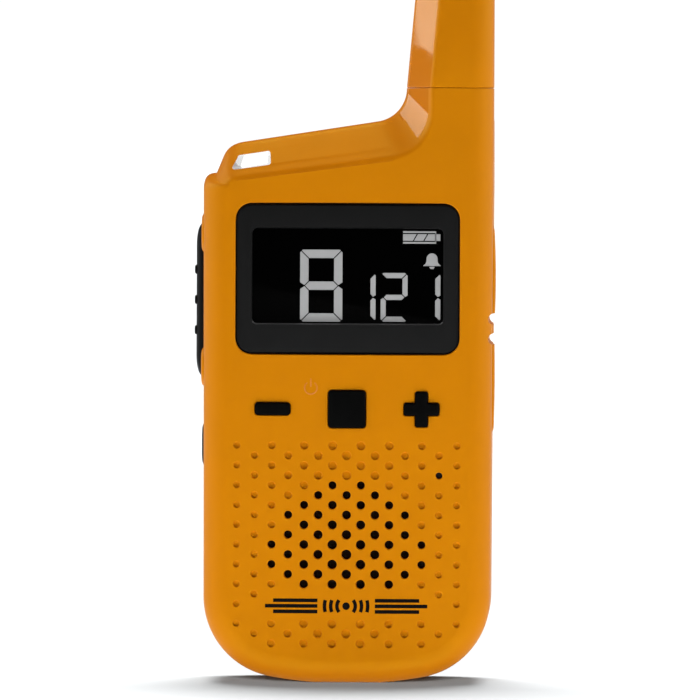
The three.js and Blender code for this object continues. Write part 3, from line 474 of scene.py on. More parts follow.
class Shading:
    """A node material under construction: a Principled shader and object coordinates."""

    def __init__(self, name, **sockets):
        self.material = bpy.data.materials.new(name)
        self.material.use_nodes = True
        self.tree = self.material.node_tree
        self.shader = self.tree.nodes["Principled BSDF"]
        self.place = self.node("ShaderNodeTexCoord").outputs["Object"]
        for socket, value in sockets.items():
            self.shader.inputs[socket.replace("_", " ")].default_value = value

    def node(self, kind, inputs=None, **settings):
        return add_node(self.tree, kind, inputs, **settings)

    def link(self, output, socket):
        self.tree.links.new(output, self.shader.inputs[socket])

    def noise(self, size, detail=2.0, stretch=None):
        """Noise whose grains are about size millimetres across."""
        place = self.place
        if stretch:
            inputs = {0: place, 1: stretch}
            place = self.node("ShaderNodeVectorMath", inputs, operation="MULTIPLY").outputs[0]
        settings = {"Vector": place, "Scale": 1 / (size * MM), "Detail": detail}
        return self.node("ShaderNodeTexNoise", settings).outputs["Fac"]

    def spread(self, value, low, high, from_low=0.3, from_high=0.7):
        inputs = {"Value": value, "From Min": from_low, "From Max": from_high}
        return self.node("ShaderNodeMapRange", inputs | {"To Min": low, "To Max": high}).outputs["Result"]

    def blend(self, factor, first, second):
        inputs = {0: factor}
        for index, colour in ((6, first), (7, second)):
            inputs[index] = colour if isinstance(colour, bpy.types.NodeSocket) else (*colour, 1)
        return self.node("ShaderNodeMix", inputs, data_type="RGBA").outputs[2]

    def bump(self, height, depth):
        made = self.node("ShaderNodeBump", {"Height": height, "Distance": depth * MM, "Strength": 1.0})
        self.link(made.outputs["Normal"], "Normal")


def moulded(name, colour, roughness, grain, grain_size, mottle=0.05, specular=0.5, tint=(1, 1, 1)):
    """Moulded plastic or rubber: a fine sparked grain, with faint patches in colour and gloss. grain is
    its depth and grain_size its width, in millimetres."""
    shading = Shading(name, Specular_IOR_Level=specular, Specular_Tint=(*tint, 1))
    patches = shading.noise(9, 3)
    darker = tuple(c * (1 - mottle) for c in colour)
    lighter = tuple(c * (1 + mottle) for c in colour)
    shading.link(shading.blend(patches, darker, lighter), "Base Color")
    shading.link(shading.spread(shading.noise(3.5), roughness - 0.04, roughness + 0.04), "Roughness")
    shading.bump(shading.noise(grain_size, 3), grain)
    return shading.material


def metal(name, colour, roughness, stretch=(1, 1, 12)):
    """Drawn or rolled metal, with fine lines along one direction."""
    shading = Shading(name, Metallic=1.0)
    lines = shading.noise(0.5, 2, stretch)
    darker = tuple(c * 0.85 for c in colour)
    shading.link(shading.blend(lines, darker, colour), "Base Color")
    shading.link(shading.spread(lines, roughness - 0.06, roughness + 0.08), "Roughness")
    shading.bump(lines, 0.004)
    return shading.material


def woven(name, colour, pitch):
    """Cloth: two crossed sets of threads."""
    shading = Shading(name, Roughness=0.95)
    threads = []
    for direction in ("X", "Z"):
        settings = {"Vector": shading.place, "Scale": 1 / (pitch * MM) / 3.2}
        wave = shading.node("ShaderNodeTexWave", settings, bands_direction=direction)
        threads.append(wave.outputs["Fac"])
    weave = shading.node("ShaderNodeMath", {0: threads[0], 1: threads[1]}, operation="MAXIMUM").outputs[0]
    shading.link(shading.blend(weave, tuple(c * 0.3 for c in colour), colour), "Base Color")
    shading.bump(weave, 0.05)
    return shading.material


def board_finish():
    """A circuit board: solder mask over tracks, with tinned pads."""
    shading = Shading("circuit_board_finish")
    settings = {"Vector": shading.place, "Scale": 1 / (4 * MM), "Mortar Size": 0.06, "Brick Width": 0.9}
    tracks = shading.node("ShaderNodeTexBrick", settings).outputs["Fac"]
    pads = shading.spread(shading.noise(1.6, 0), 0, 1, 0.66, 0.68)
    green = shading.blend(tracks, (0.008, 0.07, 0.025), (0.02, 0.16, 0.05))
    shading.link(shading.blend(pads, green, (0.55, 0.55, 0.52)), "Base Color")
    shading.link(shading.spread(pads, 0.45, 0.25, 0, 1), "Roughness")
    shading.link(pads, "Metallic")
    shading.bump(tracks, 0.03)
    return shading.material


def cell_finish():
    """A dry cell's film wrap: a dark band at the foot and a fine printed ring."""
    shading = Shading("cell_wrap_finish", Coat_Weight=0.5, Coat_Roughness=0.1)
    height = shading.node("ShaderNodeSeparateXYZ", {0: shading.place}).outputs["Z"]
    foot = shading.spread(height, 0, 1, 0.0245, 0.0246)
    ring_low = shading.spread(height, 0, 1, 0.0262, 0.0263)
    ring_high = shading.spread(height, 0, 1, 0.0268, 0.0269)
    colour = shading.blend(foot, (0.015, 0.016, 0.018), (0.03, 0.14, 0.4))
    colour = shading.blend(ring_low, colour, (0.6, 0.6, 0.6))
    colour = shading.blend(ring_high, colour, (0.03, 0.14, 0.4))
    shading.link(colour, "Base Color")
    shading.link(shading.spread(shading.noise(4), 0.28, 0.36), "Roughness")
    return shading.material


ORANGE = (0.61, 0.179, 0.001)
orange_satin = moulded("orange_satin", ORANGE, 0.46, 0.012, 0.28, specular=0.55, tint=(1, 0.95, 0.04))
orange_gloss = moulded("orange_gloss", ORANGE, 0.07, 0.0, 0.8, specular=0.74, tint=(1, 0.96, 0.62))
orange_raised = moulded("orange_raised", tuple(c * 1.06 for c in ORANGE), 0.4, 0.002, 0.5)
black_rubber = moulded("black_rubber", (0.0015,) * 3, 0.5, 0.01, 0.25, 0.1, specular=0.03)
talk_rubber = moulded("talk_rubber", (0.004, 0.0035, 0.0035), 0.48, 0.01, 0.3, 0.1, specular=0.08)
bezel_black = moulded("bezel_black", (0.006,) * 3, 0.38, 0.003, 0.3, 0.06, specular=0.08)
# lighter grey for the upward-facing bevel under the display window: a painted highlight
bezel_lip_highlight = moulded("bezel_lip_highlight", (0.09,) * 3, 0.4, 0.0, 0.3, 0.06, specular=0.3)
lens_black = moulded("lens_black", (0.0005,) * 3, 0.05, 0.0, 2.0, 0.02, specular=0.004)
clip_black = moulded("clip_black", (0.013, 0.013, 0.014), 0.5, 0.02, 0.35, 0.08, specular=0.2)
inner_black = moulded("inner_black", (0.02, 0.02, 0.022), 0.5, 0.004, 0.3)
grey_silicone = moulded("grey_silicone", (0.16, 0.17, 0.18), 0.6, 0.01, 0.4)
diffuser_white = moulded("diffuser_white", (0.75, 0.77, 0.74), 0.5, 0.002, 0.6, 0.02)
dark_glass = moulded("dark_glass", (0.01, 0.014, 0.018), 0.08, 0.0002, 2.0, 0.02)
ink_black = moulded("ink_black", (0.003, 0.0025, 0.002), 0.5, 0.002, 0.2, 0.1, specular=0.05)
segment_grey = moulded("segment_grey", (0.37,) * 3, 0.45, 0.0005, 0.5, 0.03)
bright_steel = metal("bright_steel", (0.62, 0.62, 0.63), 0.26)
tin_plate = metal("tin_plate", (0.55, 0.56, 0.57), 0.36, (10, 1, 1))
brass = metal("brass", (0.72, 0.5, 0.17), 0.3)
enamelled_copper = metal("enamelled_copper", (0.62, 0.2, 0.07), 0.22)
paper_cone = woven("paper_cone", (0.03, 0.03, 0.032), 0.5)
grille_cloth = woven("grille_cloth", (0.006, 0.004, 0.003), 0.3)
circuit_board = board_finish()
cell_wrap = cell_finish()
SHELL = [orange_satin, orange_gloss]


# ---- Front shell -----------------------------------------------------------------------------


def round_inset(depth):
    """How far the rounding of the long edges draws the outline in at a depth."""
    return 0 if depth >= EDGE else EDGE - math.sqrt(EDGE**2 - (EDGE - depth) ** 2)


def rise_at(depth):
    """How far the chamfer has climbed at a depth, with soft edges at the crease and the ridge."""
    climb = RIDGE[0] - CREASE[0]
    start = CREASE_SOFTNESS * RUN / math.hypot(RUN, climb)
    if depth < start:
        t = math.sqrt(max(0, depth / start))
        return bend(-CREASE_SOFTNESS / climb, 0, start / RUN, t)
    if abs(depth - RUN) < RIDGE_SOFTNESS:
        t = (depth - RUN + RIDGE_SOFTNESS) / (2 * RIDGE_SOFTNESS)
        return bend(1 - RIDGE_SOFTNESS / RUN, 1, 1, t)
    return min(1, depth / RUN)


def pinch_at(y):
    """How far the rounding at the back of the neck draws it in."""
    return PINCH - math.sqrt(PINCH**2 - max(0, y - SPLIT + PINCH) ** 2)


def rounding_depths():
    return [EDGE * (1 - math.cos(math.radians(7.5 * i))) for i in range(13)]


def front_depths():
    ridge = [RUN + RIDGE_SOFTNESS * i / 4 for i in range(-4, 5)]
    neck_back = [SPLIT - PINCH - FRONT + PINCH * math.sin(math.radians(11.25 * i)) for i in range(9)]
    before = [EDGE + 0.2, ridge[0] - 0.15]
    return rounding_depths() + before + ridge + [ridge[-1] + 0.15] + neck_back


def front_ring(depth):
    y = FRONT + depth
    seam = max(0, y - SPLIT + SEAM)
    outline = front_outline(round_inset(depth) + seam, rise_at(depth), pinch_at(y))
    return [(x, y, z) for x, z in outline]


def on_front(face):
    """The flat face that the crown bends."""
    return face.normal.y < -0.999 and all(abs(v.co.y - FRONT) < 1e-3 for v in face.verts)


def is_polished(face):
    """The neck's and the antenna's sloping facet is polished, down to the middle of its bend into the
    shoulder; the rest has a fine grain."""
    x, y, z = face.center
    if face.normal.x > -0.2 or z > TIP - TIP_LENGTH:
        return False
    if z < NECK_TOP:
        rise = rise_at(y - FRONT)
        centre_x, centre_z = neck_fillet(rise)[1]
        if x < centre_x or z < centre_z - math.tan(POLISH_END) * (x - centre_x):
            return False
    else:
        t = (z - NECK_TOP) / (TIP - NECK_TOP)
        unthinned = MIDDLE_Y + (y - MIDDLE_Y + t) / lerp(1, THINNING, t)
        rise = rise_at(unthinned - FRONT)
    return POLISH_START < rise < POLISH_STOP


def in_slot(face):
    """The lanyard slot's walls, which are smooth too."""
    x, y, z = face.center
    left, right, floor = SLOT_BACK[:3]
    inside = left - 0.2 < x < right + 0.1 and floor[0] - 0.1 < z < RIDGE[0] + RIDGE[1] * x - 0.8
    return inside and abs(face.normal.y) < 0.45 and abs(y) < BACK - 0.5


def is_smooth(face):
    return is_polished(face) or in_slot(face)


def front_body():
    return sliced(loft([front_ring(depth) for depth in front_depths()]), "x", range(-26, 27, 2), on_front)


# The field of sound holes and blind dimples: columns spread out towards the sides, and every second
# place is taken.
PITCH_X, PITCH_Z, FIELD_TOP = 2.62, 1.83, 43.95
SPREAD = (0.25, 0.0625)  # how much wider the columns beyond the third stand
LAST_COLUMN, LAST_ROW, MIDDLE_ROW = 7, 20, 11
MARKED_ROWS = (15, 16, 17)  # left plain for the printed motif
MICROPHONE_PLACE, MICROPHONE_RADIUS = (6, 3), 0.62
SPEAKER_REACH = 14.5  # sound holes within this radius go through
DIMPLE_DEPTH = 0.45


def hole_place(column, row):
    outer = max(0, abs(column) - 3)
    x = PITCH_X * abs(column) + SPREAD[0] * outer + SPREAD[1] * outer**2
    return math.copysign(x, column), FIELD_TOP - PITCH_Z * row


def field_holes():
    """(x, z, radius, goes through) for each place that is taken."""
    for column in range(-LAST_COLUMN, LAST_COLUMN + 1):
        for row in range(LAST_ROW + 1):
            x, z = hole_place(column, row)
            marked = row in MARKED_ROWS and abs(column) < 6 or row == MARKED_ROWS[-1] and abs(column) == 6
            corner = row == LAST_ROW and abs(column) == LAST_COLUMN
            if (column + row) % 2 == 0 or marked or corner:
                continue
            away = math.hypot(x, z - hole_place(0, MIDDLE_ROW)[1]) / SPEAKER_REACH
            if (column, row) == MICROPHONE_PLACE:
                yield x, z, MICROPHONE_RADIUS, True
            elif away < 1 and row < MARKED_ROWS[0]:
                yield x, z, lerp(0.92, 0.72, away), True
            else:
                yield x, z, lerp(0.79, 0.6, abs(x) / 20), False


def hole_cutters():
    cutters = []
    for x, z, radius, through in field_holes():
        if through:
            stations = flared(FRONT, FRONT + WALL + 1, 0.1)
        else:
            floor = FRONT + DIMPLE_DEPTH
            stations = flared(FRONT, floor, 0.1) + [(floor + 0.1, -0.15)]
        cutters.append(tunnel(circle(x, z, radius, 20), "y", stations))
    return cutters


def node_middle(node):
    low, high = limits(node)
    return [(a + b) / 2 for a, b in zip(low, high)]


BEZEL_Z = node_middle("display_bezel")[2]
BEZEL_WIDTH, BEZEL_HEIGHT, BEZEL_RADIUS = 41.0, 27.5, 2.8
WINDOW_Z, WINDOW_WIDTH, WINDOW_HEIGHT = BEZEL_Z + 0.5, 35.3, 17.5
KEY_Z = node_middle("menu_key")[2]
KEY_X = {name: node_middle(name)[0] for name in ("minus_key", "menu_key", "plus_key")}
KEY_SHAPES = {
    "minus_key": rounded_rectangle(KEY_X["minus_key"], KEY_Z, 6.5, 2.3, 0.6, 5),
    "menu_key": rounded_rectangle(KEY_X["menu_key"], KEY_Z, 6.9, 6.9, 0.6, 5),
    "plus_key": cross(KEY_X["plus_key"], KEY_Z, 6.5, 2.3),
}
SIDE_Y = node_middle("ptt_button")[1]
TALK_Z, TALK_LENGTH, TALK_WIDTH = node_middle("ptt_button")[2], 28.3, 8.0
SIDE_KEY_Z, SIDE_KEY_LENGTH, SIDE_KEY_WIDTH = node_middle("side_key")[2], 7.8, 5.4
PORT_TOP, PORT_BOTTOM = limits("jack_cover")[1][2], limits("usb_cover")[0][2]
PORT_FLOOR, PORT_WIDTH = 25.4, 8.0
GROOVE_RADIUS = 1.05
JACK_Z, USB_Z = node_middle("audio_jack")[2], node_middle("usb_socket")[2]
ANCHOR_Z = node_middle("port_cover_anchor")[2]
anchor_low, anchor_high = limits("port_cover_anchor")


def talk_guards():
    """A low pad round each end of the talk button."""
    away, length, proud = 12.2, 7.6, 0.4
    pads = []
    for end in (-1, 1):
        outline = rounded_rectangle(SIDE_Y, TALK_Z + end * away, TALK_WIDTH + 4, length, 3.2)
        pads.append(tunnel(outline, "x", soft_end(-HALF - proud, 1, 0.5, 1.0) + [(-HALF + 1, 0)]))
    return pads


# The lanyard slot at three depths: left, right, floor and ceiling at the left and right, and the lean
# of the left end.
SLOT_FACE = (-21.5, -14.3, (94.8, 95.7), (97.5, 98.3), 0.9)
SLOT_MIDDLE = (-20.5, -15.4, (95.05, 95.85), (97.5, 98.3), 0.5)
SLOT_BACK = (-21.8, -14, (94.5, 95.6), (98.6, 99.6), 0.5)


def slot_ring(y, left, right, floor, ceiling, lean):
    """The slot's outline at one depth."""
    rounding = 0.45
    corners = [(right, ceiling[1]), (left + lean, ceiling[0]), (left, floor[0]), (right, floor[1])]
    ring = []
    for quarter, (x, z) in enumerate(corners):
        centre_x = x - rounding if quarter in (0, 3) else x + rounding
        centre_z = z - rounding if quarter < 2 else z + rounding
        ring += arc(centre_x, centre_z, rounding, quarter * math.pi / 2, (quarter + 1) * math.pi / 2, 4)
    return [(x, y, z) for x, z in ring]


def lanyard_slot():
    """The slot narrows from the face to its middle depth and widens again to the back."""
    places = [(FRONT - 1, SLOT_FACE), (-12.5, SLOT_FACE), (3.5, SLOT_MIDDLE), (5, SLOT_MIDDLE)]
    places += [(BACK - 1, SLOT_BACK), (BACK + 1, SLOT_BACK)]
    return loft([slot_ring(y, *measures) for y, measures in places])


def hinge_grooves():
    """A small groove across the right side at each port cover's hinge."""
    hinges = anchor_high[2], anchor_low[2]
    return [rod(HALF + 0.2, z, GROOVE_RADIUS, "y", FRONT - 1, BACK + 1) for z in hinges]


def front_shell():
    cavity = slab(cavity_outline(), "y", FRONT + WALL, SPLIT + 1)
    side = HALF - WALL
    shell = joined(cut(front_body(), cavity), *talk_guards())
    port_pad = box(side - 1.2, side + 0.5, SIDE_Y - 5, SIDE_Y + 5, PORT_BOTTOM - 2, PORT_TOP + 2)
    shell = joined(shell, port_pad)
    display = rounded_rectangle(0, BEZEL_Z, BEZEL_WIDTH + 0.45, BEZEL_HEIGHT + 0.45, BEZEL_RADIUS + 0.2)
    front_cutters = [tunnel(display, "y", flared(FRONT, FRONT + WALL + 1, 0.15)), *hole_cutters()]
    for outline in KEY_SHAPES.values():
        cutter = [(FRONT - 1, 1.2), (FRONT + 0.12, 0.08), (FRONT + WALL + 1, 0.08)]
        front_cutters.append(tunnel(outline, "y", cutter))
    talk = rounded_rectangle(SIDE_Y, TALK_Z, TALK_WIDTH + 0.5, TALK_LENGTH + 0.5, 3.4)
    small = rounded_rectangle(SIDE_Y, SIDE_KEY_Z, SIDE_KEY_WIDTH + 0.5, SIDE_KEY_LENGTH + 0.5, 2.6)
    port_middle, port_length = (PORT_TOP + PORT_BOTTOM) / 2, PORT_TOP - PORT_BOTTOM
    port = rounded_rectangle(SIDE_Y, port_middle, PORT_WIDTH + 0.24, port_length + 0.5, 2.3)
    side_cutters = [
        tunnel(talk, "x", [(-HALF - 1.5, 0.3), (-HALF - 0.2, 0.3), (-HALF + 0.1, 0), (-side + 1, 0)]),
        tunnel(small, "x", flared(-HALF, -side + 1, 0.2)),
        tunnel(port, "x", flared(HALF, PORT_FLOOR, 0.06)),
    ]
    usb = rounded_rectangle(SIDE_Y, USB_Z, 3.4, 8.4, 0.6, 4)
    port_cutters = [
        rod(SIDE_Y, JACK_Z, 2.6, "x", side - 3, HALF),
        tunnel(usb, "x", [(side - 3, 0), (HALF, 0)]),
        rod(SIDE_Y, ANCHOR_Z, 1.3, "x", side - 3, HALF),
    ]
    cutters = [together(group) for group in (front_cutters, side_cutters, port_cutters)]
    shell = cut(shell, *cutters, lanyard_slot())
    shell = crowned(cut(shell, *hinge_grooves()))
    replaced = ["front_housing"]
    add_piece("front_shell", shell, "radio", SHELL, replaced, 30, front_normal, is_smooth)


front_shell()


# ---- Antenna ---------------------------------------------------------------------------------


def antenna_ring(z, draw=0.0):
    """The neck's section, thinner the higher it is; the left facet leans in and keeps its width."""
    t = (z - NECK_TOP) / (TIP - NECK_TOP)
    narrow = lerp(1, NARROWING, t)
    lean = LEAN * (z - NECK_TOP)
    middle_x = (NECK_RIDGE + lean + HALF) / 2
    depths = [d for d in front_depths() if not EDGE < d < SPLIT - PINCH - FRONT]
    right = [(HALF - (round_inset(d) + pinch_at(FRONT + d)) * narrow, FRONT + d) for d in depths]
    left = []
    for depth in front_depths():
        neck = lerp(NECK_CREASE, NECK_RIDGE, rise_at(depth))
        left.append((neck + lean + pinch_at(FRONT + depth) * narrow, FRONT + depth))
    ring = []
    for x, y in right + left[::-1]:
        y += crown_depth(x) * min(1, max(0, (FRONT + EDGE - y) / EDGE))
        y = MIDDLE_Y - t + (y - MIDDLE_Y) * lerp(1, THINNING, t)
        ring.append((lerp(x, middle_x, draw), lerp(y, MIDDLE_Y - t, draw), z))
    return ring


def antenna_sleeve():
    rings = [antenna_ring(NECK_TOP + 0.06, 0.02), antenna_ring(NECK_TOP + 0.16, 0.003)]
    rings += [antenna_ring(NECK_TOP + 0.3 + i * 7.8) for i in range(7)]
    for degrees in range(10, 91, 10):
        angle = math.radians(degrees)
        z = TIP - TIP_LENGTH * (1 - math.sin(angle))
        rings.append(antenna_ring(z, 0.55 * (1 - math.cos(angle)) ** 1.2))
    sleeve = loft(rings)
    add_piece("antenna_sleeve", sleeve, "radio", SHELL, ["antenna_cover"], 40, second=is_polished)


antenna_sleeve()


# ---- Display ---------------------------------------------------------------------------------

BEZEL_FACE = FRONT + 0.1
LENS_FACE = limits("display_lens")[0][1]


def is_highlit_lip(face):
    """The upward-facing bevel along the window's lower edge, given a lighter grey as a painted highlight.
    """
    lower_edge = WINDOW_Z - WINDOW_HEIGHT / 2
    at_edge = abs(face.center.z - lower_edge) < 0.4 and face.center.y < FRONT + 1
    return face.normal.z > 0.4 and at_edge


def display_bezel():
    inner = FRONT + WALL
    outer = rounded_rectangle(0, BEZEL_Z, BEZEL_WIDTH, BEZEL_HEIGHT, BEZEL_RADIUS)
    surround = tunnel(outer, "y", soft_end(BEZEL_FACE, 1, 0.4) + [(inner, 0)])
    flange = rounded_rectangle(0, BEZEL_Z, BEZEL_WIDTH + 2, BEZEL_HEIGHT + 1.4, 3)
    surround = joined(surround, tunnel(flange, "y", [(inner + 0.1, 0), (inner - 0.1, 0)]))
    window = rounded_rectangle(0, WINDOW_Z, WINDOW_WIDTH, WINDOW_HEIGHT, 0.9, 5)
    cutter = [(BEZEL_FACE - 1, 1.22), (BEZEL_FACE + 0.22, 0), (inner + 1, 0)]
    surround = cut(surround, tunnel(window, "y", cutter))
    surround = sliced(surround, "x", range(-20, 21, 2), lambda face: face.normal.y < -0.9)
    surround = crowned(surround)
    # the second finish paints a highlight on the window's upward-facing lower bevel
    finishes = [bezel_black, bezel_lip_highlight]
    add_piece("display_surround", surround, "radio", finishes, ["display_bezel"], second=is_highlit_lip)
    pane = rounded_rectangle(0, WINDOW_Z, WINDOW_WIDTH + 1.8, WINDOW_HEIGHT + 1.8, 0.8, 5)
    pane_mesh = tunnel(pane, "y", soft_end(LENS_FACE, 1, 0.15) + [(LENS_FACE + 1, 0)])
    add_piece("display_pane", pane_mesh, "radio", [lens_black], ["display_lens"])


display_bezel()

SEGMENT_GAP = 0.13


def segment_shapes(left, right, top, bottom, stroke):
    """The seven segments of a digit as outlines, by their usual letters."""
    width, height = right - left, top - bottom
    gap, corner = SEGMENT_GAP, 0.36
    middle = height / 2
    bar = [
        (corner / 2 + gap, corner / 2),
        (corner + gap, 0),
        (width - corner - gap, 0),
        (width - corner / 2 - gap, corner / 2),
        (width - stroke - gap, stroke),
        (stroke + gap, stroke),
    ]
    post = [
        (0, corner + gap),
        (corner / 2, corner / 2 + gap),
        (stroke, stroke + gap),
        (stroke, middle - stroke / 2 - gap),
        (stroke * 0.5, middle - gap * 0.8),
        (0, middle - stroke * 0.4),
    ]
    centre_bar = [
        (stroke * 0.5 + gap, middle),
        (stroke + gap, middle - stroke / 2),
        (width - stroke - gap, middle - stroke / 2),
        (width - stroke * 0.5 - gap, middle),
        (width - stroke - gap, middle + stroke / 2),
        (stroke + gap, middle + stroke / 2),
    ]

    def flip(points, across, upside):
        return [(width - x if across else x, height - v if upside else v) for x, v in points]

    local = {
        "a": bar,
        "b": flip(post, True, False),
        "c": flip(post, True, True),
        "d": flip(bar, False, True),
        "e": flip(post, False, True),
        "f": post,
        "g": centre_bar,
    }
    return {letter: [(left + x, top - v) for x, v in points] for letter, points in local.items()}


def plates(outlines, face, thickness):
    return together([slab(points, "y", face, face + thickness) for points in outlines])


def battery_symbol(left, right, top, bottom):
    """Three slanted cells between two bars, with a thin end wall and a nub on the right."""
    line, space, tab = 0.32, 0.22, 0.72
    high, low = top - line - space, bottom + line + space
    wall = right - tab - 0.16
    shapes = [
        [(left, top), (wall, top), (wall, top - line), (left, top - line)],
        [(left, bottom + line), (wall, bottom + line), (wall, bottom), (left, bottom)],
        [(wall, top), (wall + 0.1, top), (wall + 0.1, bottom), (wall, bottom)],
        [(right - tab, high), (right, high), (right, low), (right - tab, low)],
    ]
    edges = [left, left + (wall - left) * 0.3, left + (wall - left) * 0.62, wall - 0.12]
    slants = [0, 0.7, 0.7, 0]
    for i in range(3):
        start, end = edges[i] + (0.23 if i else 0), edges[i + 1]
        shapes.append([(start + slants[i], high), (end + slants[i + 1], high), (end, low), (start, low)])
    return shapes


def bell_symbol(x, top, bottom):
    """A round bell with flared lips and a small clapper."""
    lip, waist, foot = 1.6, 1.02, bottom + 0.55
    side = [(lip, foot)]
    side += bezier((lip, foot + 0.12), (waist, foot + 0.4), (waist, foot + 1.1), 5)
    dome = arc(0, top - waist, waist, 0.1, math.pi / 2, 8)
    right = side + dome
    bell = [(x + a, z) for a, z in right] + [(x - a, z) for a, z in reversed(right[:-1])]
    clapper = [(x - 0.5, foot - 0.14), (x + 0.5, foot - 0.14), (x + 0.3, bottom), (x - 0.3, bottom)]
    return [bell, clapper]


# Each digit: left, right, top, bottom, stroke and the letters of its lit segments.
DIGITS = [
    (-8.78, -0.97, 80.1, 66.8, 1.55, "abcdefg"),
    (0.2, 5.17, 75.85, 66.84, 0.95, "bc"),
    (6.1, 11.07, 75.85, 66.84, 0.95, "abged"),
    (12.16, 17.13, 75.85, 66.84, 0.95, "bc"),
]


def display_symbols():
    outlines = []
    for *measures, lit in DIGITS:
        segments = segment_shapes(*measures)
        outlines += [segments[letter] for letter in lit]
    outlines += battery_symbol(10.2, 17.08, 83.58, 81.28)
    outlines += bell_symbol(15.56, 79.5, 76.62)
    mesh = plates(outlines, LENS_FACE - 0.03, 0.06)
    add_piece("display_symbols", mesh, "radio", [segment_grey])


display_symbols()


# ---- Marks on the front ----------------------------------------------------------------------


def stroke_shape(points, width):
    """A line of points as a closed outline of an even width."""
    left, right = [], []
    for i, point in enumerate(points):
        before, after = Vector(points[max(i - 1, 0)]), Vector(points[min(i + 1, len(points) - 1)])
        along = (after - before).normalized()
        side = Vector((-along.y, along.x)) * width / 2
        left.append(tuple(Vector(point) + side))
        right.append(tuple(Vector(point) - side))
    return left + right[::-1]


def signal_motif():
    """A printed dot between radio waves, with three bars to each side, below the sound holes."""
    z = 14.3
    shapes = [circle(0, z, 0.7, 20)()]
    for radius in (1.7, 2.85, 4.0):
        reach = math.asin(1.1 / radius)
        for side in (0, math.pi):
            shapes.append(stroke_shape(arc(0, z, radius, side - reach, side + reach, 14), 0.66))
    for side in (-1, 1):
        for offset, length in ((0, 9.7), (1.03, 8.2), (-1.03, 8.2)):
            ends = [(side * 5.3, z + offset), (side * (5.3 + length), z + offset)]
            shapes.append(stroke_shape(ends, 0.68))
    mesh = sliced(plates(shapes, FRONT - 0.012, 0.03), "x", range(-14, 15, 2))
    add_piece("signal_motif", crowned(mesh), "radio", [ink_black])


def power_symbol():
    """A faint raised power symbol beside the square key."""
    x, z = -6.7, 54.6
    ring = arc(x, z, 1.15, math.radians(125), math.radians(415), 24)
    shapes = [stroke_shape(ring, 0.26), stroke_shape([(x, z + 0.2), (x, z + 1.75)], 0.26)]
    mesh = bevelled(plates(shapes, FRONT - 0.05, 0.1), 0.04, 2)
    add_piece("power_symbol", crowned(mesh), "radio", [orange_raised])


signal_motif()
power_symbol()


# ---- Front keys ------------------------------------------------------------------------------


def front_keys():
    proud = FRONT - limits("menu_key")[0][1]
    for name, outline in KEY_SHAPES.items():
        face = FRONT - proud + crown_depth(KEY_X[name])
        cap = tunnel(outline, "y", soft_end(face, 1, 0.32, 0.28, 5) + [(FRONT + WALL + 0.4, 0)])
        body = name.replace("_key", "_button")
        add_piece(name + "_cap", cap, body, [black_rubber], [name], 40)


front_keys()


# ---- Side buttons ----------------------------------------------------------------------------


def talk_button():
    """A capsule with long sloping ends and three ribs."""
    face = limits("ptt_button")[0][0] + 0.3
    capsule = rounded_rectangle(SIDE_Y, TALK_Z, TALK_WIDTH, TALK_LENGTH, 3.2, 10)

    def outline(grow=0.0):
        stretch = 1 + 0.6 * grow / (TALK_LENGTH / 2)
        return [(y, TALK_Z + (z - TALK_Z) * stretch) for y, z in capsule(grow)]

    cap = tunnel(outline, "x", soft_end(face, 1, 1.1, 2.3, 10) + [(-HALF + WALL + 0.3, 0)])
    ribs = []
    for offset in (-5.6, 0, 5.6):
        rib = rounded_rectangle(SIDE_Y, TALK_Z + offset, TALK_WIDTH - 2.2, 1.7, 0.75, 6)
        ribs.append(tunnel(rib, "x", soft_end(face - 0.3, 1, 0.32, 0.32) + [(face + 0.5, 0)]))
    cap = joined(cap, *ribs)
    add_piece("talk_button", cap, "ptt", [talk_rubber], ["ptt_button"], 40)


def small_side_key():
    face = limits("side_key")[0][0]
    outline = rounded_rectangle(SIDE_Y, SIDE_KEY_Z, SIDE_KEY_WIDTH, SIDE_KEY_LENGTH, 2.5, 10)
    cap = tunnel(outline, "x", soft_end(face, 1, 0.5, 1.1, 8) + [(-HALF + WALL + 0.3, 0)])
    dot = tunnel(circle(SIDE_Y, SIDE_KEY_Z, 0.7), "x", [(face - 0.5, 0.4), (face + 0.2, -0.3)])
    add_piece("side_button", cut(cap, dot), "side_button", [black_rubber], ["side_key"], 40)


talk_button()
small_side_key()


# ---- Port covers -----------------------------------------------------------------------------

HINGE_X = 26.2  # how far out each cover's web lies
HINGE_GAP = 0.15  # from the shared middle to the hinge line, and from there to the cover


def bulged(mesh, low, high, height):
    """Bows a cover outwards between two heights."""
    middle, half = (low + high) / 2, (high - low) / 2
    mesh = sliced(mesh, "z", [low + i for i in range(1, int(high - low))])
    for vertex in mesh.vertices:
        share = min(1, max(0, (vertex.co.x - PORT_FLOOR - 0.5) / 1.2))
        vertex.co.x += height * share * (1 - min(1, abs((vertex.co.z - middle) / half)) ** 2)
    return mesh


def port_cover(name, body, node, hinge_z, end_z, height, plug):
    way = math.copysign(1, end_z - hinge_z)
    near = hinge_z + way * HINGE_GAP
    outer = limits(node)[1][0] - height
    low, high = sorted((near - way * 3, end_z))
    outline = rounded_rectangle(SIDE_Y, (low + high) / 2, PORT_WIDTH, high - low, 2, 8)
    flap = tunnel(outline, "x", [(PORT_FLOOR + 0.2, 0), *reversed(soft_end(outer, -1, 0.5))])
    reach = 4
    notch = [(HINGE_X, near), (HINGE_X, near - way * reach), (HINGE_X + reach, near - way * reach)]
    notch.append((HINGE_X + reach, near + way * reach))
    behind = [(PORT_FLOOR - 1, near), (HINGE_X, near), (HINGE_X, near - way * reach)]
    behind.append((PORT_FLOOR - 1, near - way * reach))
    depth = (SIDE_Y - PORT_WIDTH, SIDE_Y + PORT_WIDTH)
    flap = cut(flap, slab(notch, "y", *depth), slab(behind, "y", *depth))
    grip = rounded_rectangle(SIDE_Y, end_z - way * 1.5, 4.2, 0.8, 0.39, 6)
    flap = cut(flap, tunnel(grip, "x", [(outer + 1, 0.6), (outer - 0.3, 0)]))
    flap = cut(bulged(flap, low, high, height), *hinge_grooves())
    add_piece(name, joined(flap, plug), body, SHELL, [node], 35)


